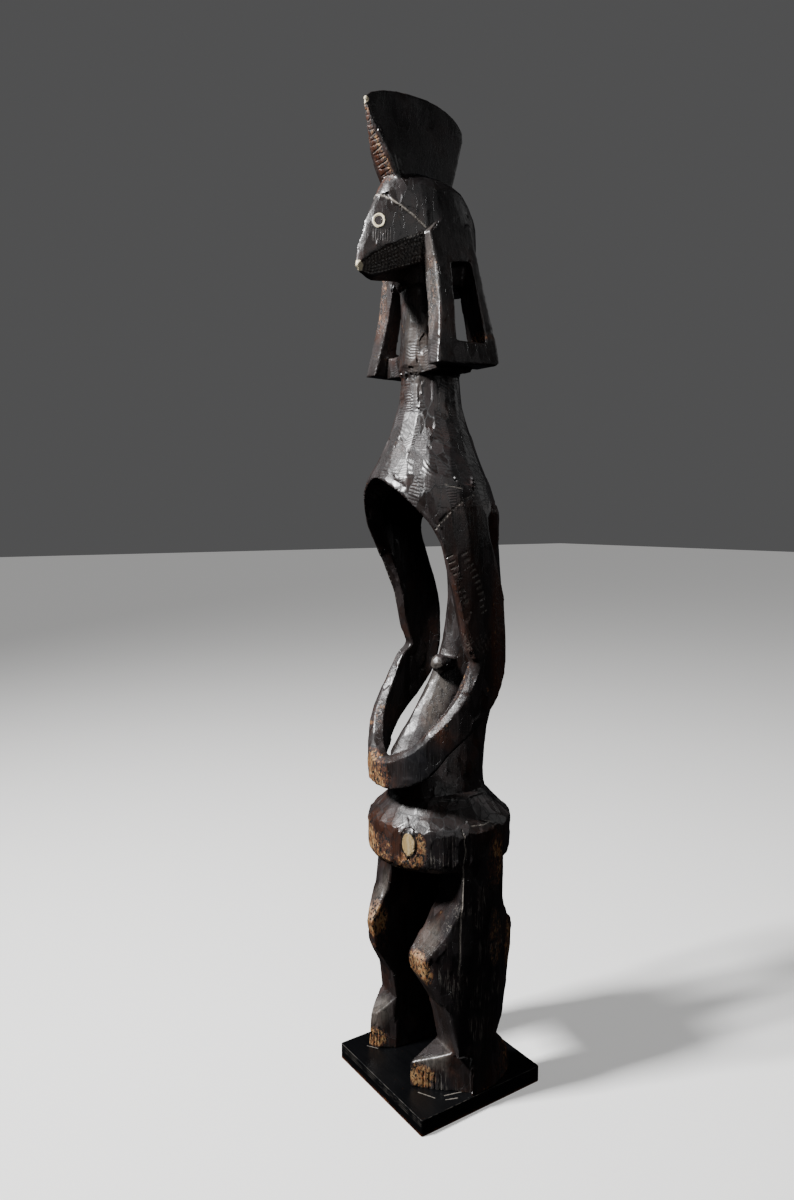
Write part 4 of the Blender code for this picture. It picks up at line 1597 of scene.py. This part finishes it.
    def shoulder(self) -> list[Stroke]:
        """The beaded scar across the left shoulder, and a light scratch above it."""
        return [Stroke(self.scar, 1.7, 0.7, 1.0, 4.6), Stroke(self.scratch, 1.3, 0.3, 0.6)]

    def elbow_hatch(self) -> list[Stroke]:
        """Crossing cuts at the left elbow.

        Returns:
            The strokes.
        """
        strokes = []
        middle = Vector(self.elbow)
        run = Vector((-middle.y, middle.x, 0.0)).normalized()
        for number in range(-4, 5):
            for lean in (0.9, -0.8):
                spot = middle + run * number * 4.6 + Vector((0, 0, (number % 3) * 3.0))
                reach = (run * 0.5 + Vector((0, 0, lean))) * 8.0
                strokes.append(Stroke((tuple(spot - reach), tuple(spot + reach)), 1.2, 0.4, 0.22, 7.0))
        return strokes

    def toes(self) -> list[Stroke]:
        """Upright grooves between the toes of both feet.

        Returns:
            The strokes.
        """
        strokes = []
        for start, end, count in self.toe_rows:
            for number in range(count):
                spot = Vector(start).lerp(Vector(end), (number + 1) / (count + 1))
                strokes.append(Stroke(((spot.x, spot.y, 21.0), (spot.x, spot.y, spot.z)), 1.7, 1.3, 0.0))
        return strokes

    def cracks(self) -> list[Stroke]:
        """The long light crack down the left hip and leg, the disc's scratch and the arm's ridge line."""
        return [
            Stroke(self.crack, 1.3, 0.9, 1.0), Stroke(self.disc_scratch, 0.9, 0.15, 0.7),
            Stroke(self.arm_ridge, 1.3, -0.4),
        ]


@dataclass
class WornPlaces:
    """Worn places, soot and painted shade, pale dust and painted light, and reddish wood, in millimetres in
    the plate's frame.
    """

    wear: tuple = (
        ((-26, -86, 396), (30, 22, 42), 1.10), ((0, -90, 400), (22, 14, 30), 0.85),
        ((14, -90, 396), (16, 10, 20), 0.45), ((-40, -76, 312), (48, 32, 32), 1.10),
        ((4, -86, 308), (24, 16, 28), 0.80), ((40, -78, 300), (22, 20, 20), 0.85),
        ((52, -66, 318), (12, 18, 26), 0.75), ((48, -66, 174), (28, 20, 28), 1.15),
        ((-46, -66, 200), (26, 22, 32), 1.05), ((-46, -60, 160), (20, 20, 30), 0.4),
        ((42, -58, 34), (22, 26, 19), 1.15), ((-56, -64, 34), (28, 26, 18), 1.10),
        ((83, 20, 300), (18, 22, 50), 0.60), ((86, 20, 205), (16, 18, 46), 0.75),
        ((72, 52, 190), (24, 20, 50), 0.75), ((30, 80, 120), (50, 30, 80), 0.4),
        ((80, 40, 40), (20, 24, 50), 0.5), ((10, -76, 1082), (8, 16, 30), 0.66),
        ((8, -88, 1104), (7, 16, 30), 0.66), ((4, -100, 1128), (6, 16, 26), 0.58),
        ((76, -22, 512), (16, 28, 40), 0.28), ((64, -52, 462), (22, 24, 24), 0.26),
        ((84, 24, 570), (10, 20, 110), 0.26), ((-60, -58, 462), (28, 26, 48), 0.30),
        ((-76, -28, 512), (14, 32, 44), 0.28), ((-2, -95, 1110), (6, 30, 50), 0.25),
        ((46, -48, 938), (16, 14, 74), 0.34), ((-48, -46, 950), (18, 14, 100), 0.40),
        ((76, 36, 706), (20, 22, 30), 0.42), ((70, 54, 560), (16, 26, 120), 0.30),
        ((78, 30, 440), (12, 26, 60), 0.25), ((60, 8, 900), (16, 52, 9), 0.85),
        ((-60, 8, 900), (16, 52, 9), 0.85),
    )
    # Painted shade: darker colour under the hands and near forearm, in the gap behind the arm, beside the
    # near foot and down the sides turned from the key lamp.
    soot_and_shade: tuple = (
        ((66, -56, 402), (46, 42, 50), 0.85), ((78, -48, 320), (30, 40, 38), 0.65),
        ((84, -20, 180), (30, 70, 160), 0.6), ((88, 12, 700), (12, 9, 26), 0.9),
        ((70, -48, 24), (24, 26, 30), 0.9), ((86, 0, 430), (30, 60, 70), 0.35),
        ((16, -82, 1010), (24, 30, 18), 0.5), ((30, -10, 1050), (70, 80, 50), 0.6),
        ((76, -6, 790), (44, 60, 110), 0.5), ((56, -66, 420), (34, 26, 30), 0.95),
    )
    # Pale patches: dust and painted light on the key-lit fronts of the feet, thighs, ear strips, neck and
    # torso.
    pale: tuple = (
        ((46, -45, 950), (18, 14, 95), 0.12), ((-48, -45, 950), (18, 14, 95), 0.08),
        ((50, -52, 66), (30, 30, 24), 0.26), ((-56, -60, 70), (26, 26, 30), 0.20),
        ((48, -56, 220), (24, 20, 60), 0.14), ((20, -46, 905), (24, 18, 80), 0.10),
        ((16, -16, 500), (22, 26, 120), 0.15), ((-48, -60, 230), (24, 20, 60), 0.16),
    )
    brown: tuple = (
        ((76, 36, 706), (24, 26, 34), 0.9), ((82, -30, 600), (12, 30, 90), 0.35),
        ((70, 54, 600), (20, 26, 200), 0.7), ((68, -50, 560), (10, 14, 130), 0.8),
        ((84, 14, 725), (12, 20, 26), 0.9), ((84, 24, 570), (12, 22, 120), 0.9),
        ((-40, -50, 790), (24, 40, 60), 0.6), ((60, -62, 610), (30, 20, 90), 0.6),
        ((-60, -62, 610), (30, 20, 90), 0.6), ((-50, -40, 930), (20, 20, 70), 0.8),
        ((10, -30, 900), (24, 24, 60), 0.4), ((52, 40, 680), (40, 30, 60), 0.6),
        ((0, -90, 1100), (9, 40, 60), 1.0), ((0, -88, 330), (60, 20, 60), 0.5),
    )

    def patches(self, rows: tuple) -> list[Patch]:
        """The rows as patches."""
        return [Patch(*row) for row in rows]


def main() -> None:
    """Build the pieces in order and report each."""
    logging.basicConfig(level=logging.INFO, format="%(name)s: %(message)s")
    effects = Effects()
    Studio().build()
    plate = BasePlate(effects).dress()
    log.info("%s: dressed", plate.name)
    places = WornPlaces()
    figure = Figure(
        effects, strokes=Markings().all(), wear=places.patches(places.wear), soot_and_shade=places.patches(places.soot_and_shade),
        brown=places.patches(places.brown), pale=places.patches(places.pale),
    ).build()
    figure.data.calc_loop_triangles()
    log.info("%s: %d triangles", figure.name, len(figure.data.loop_triangles))


if __name__ == "__main__":
    main()
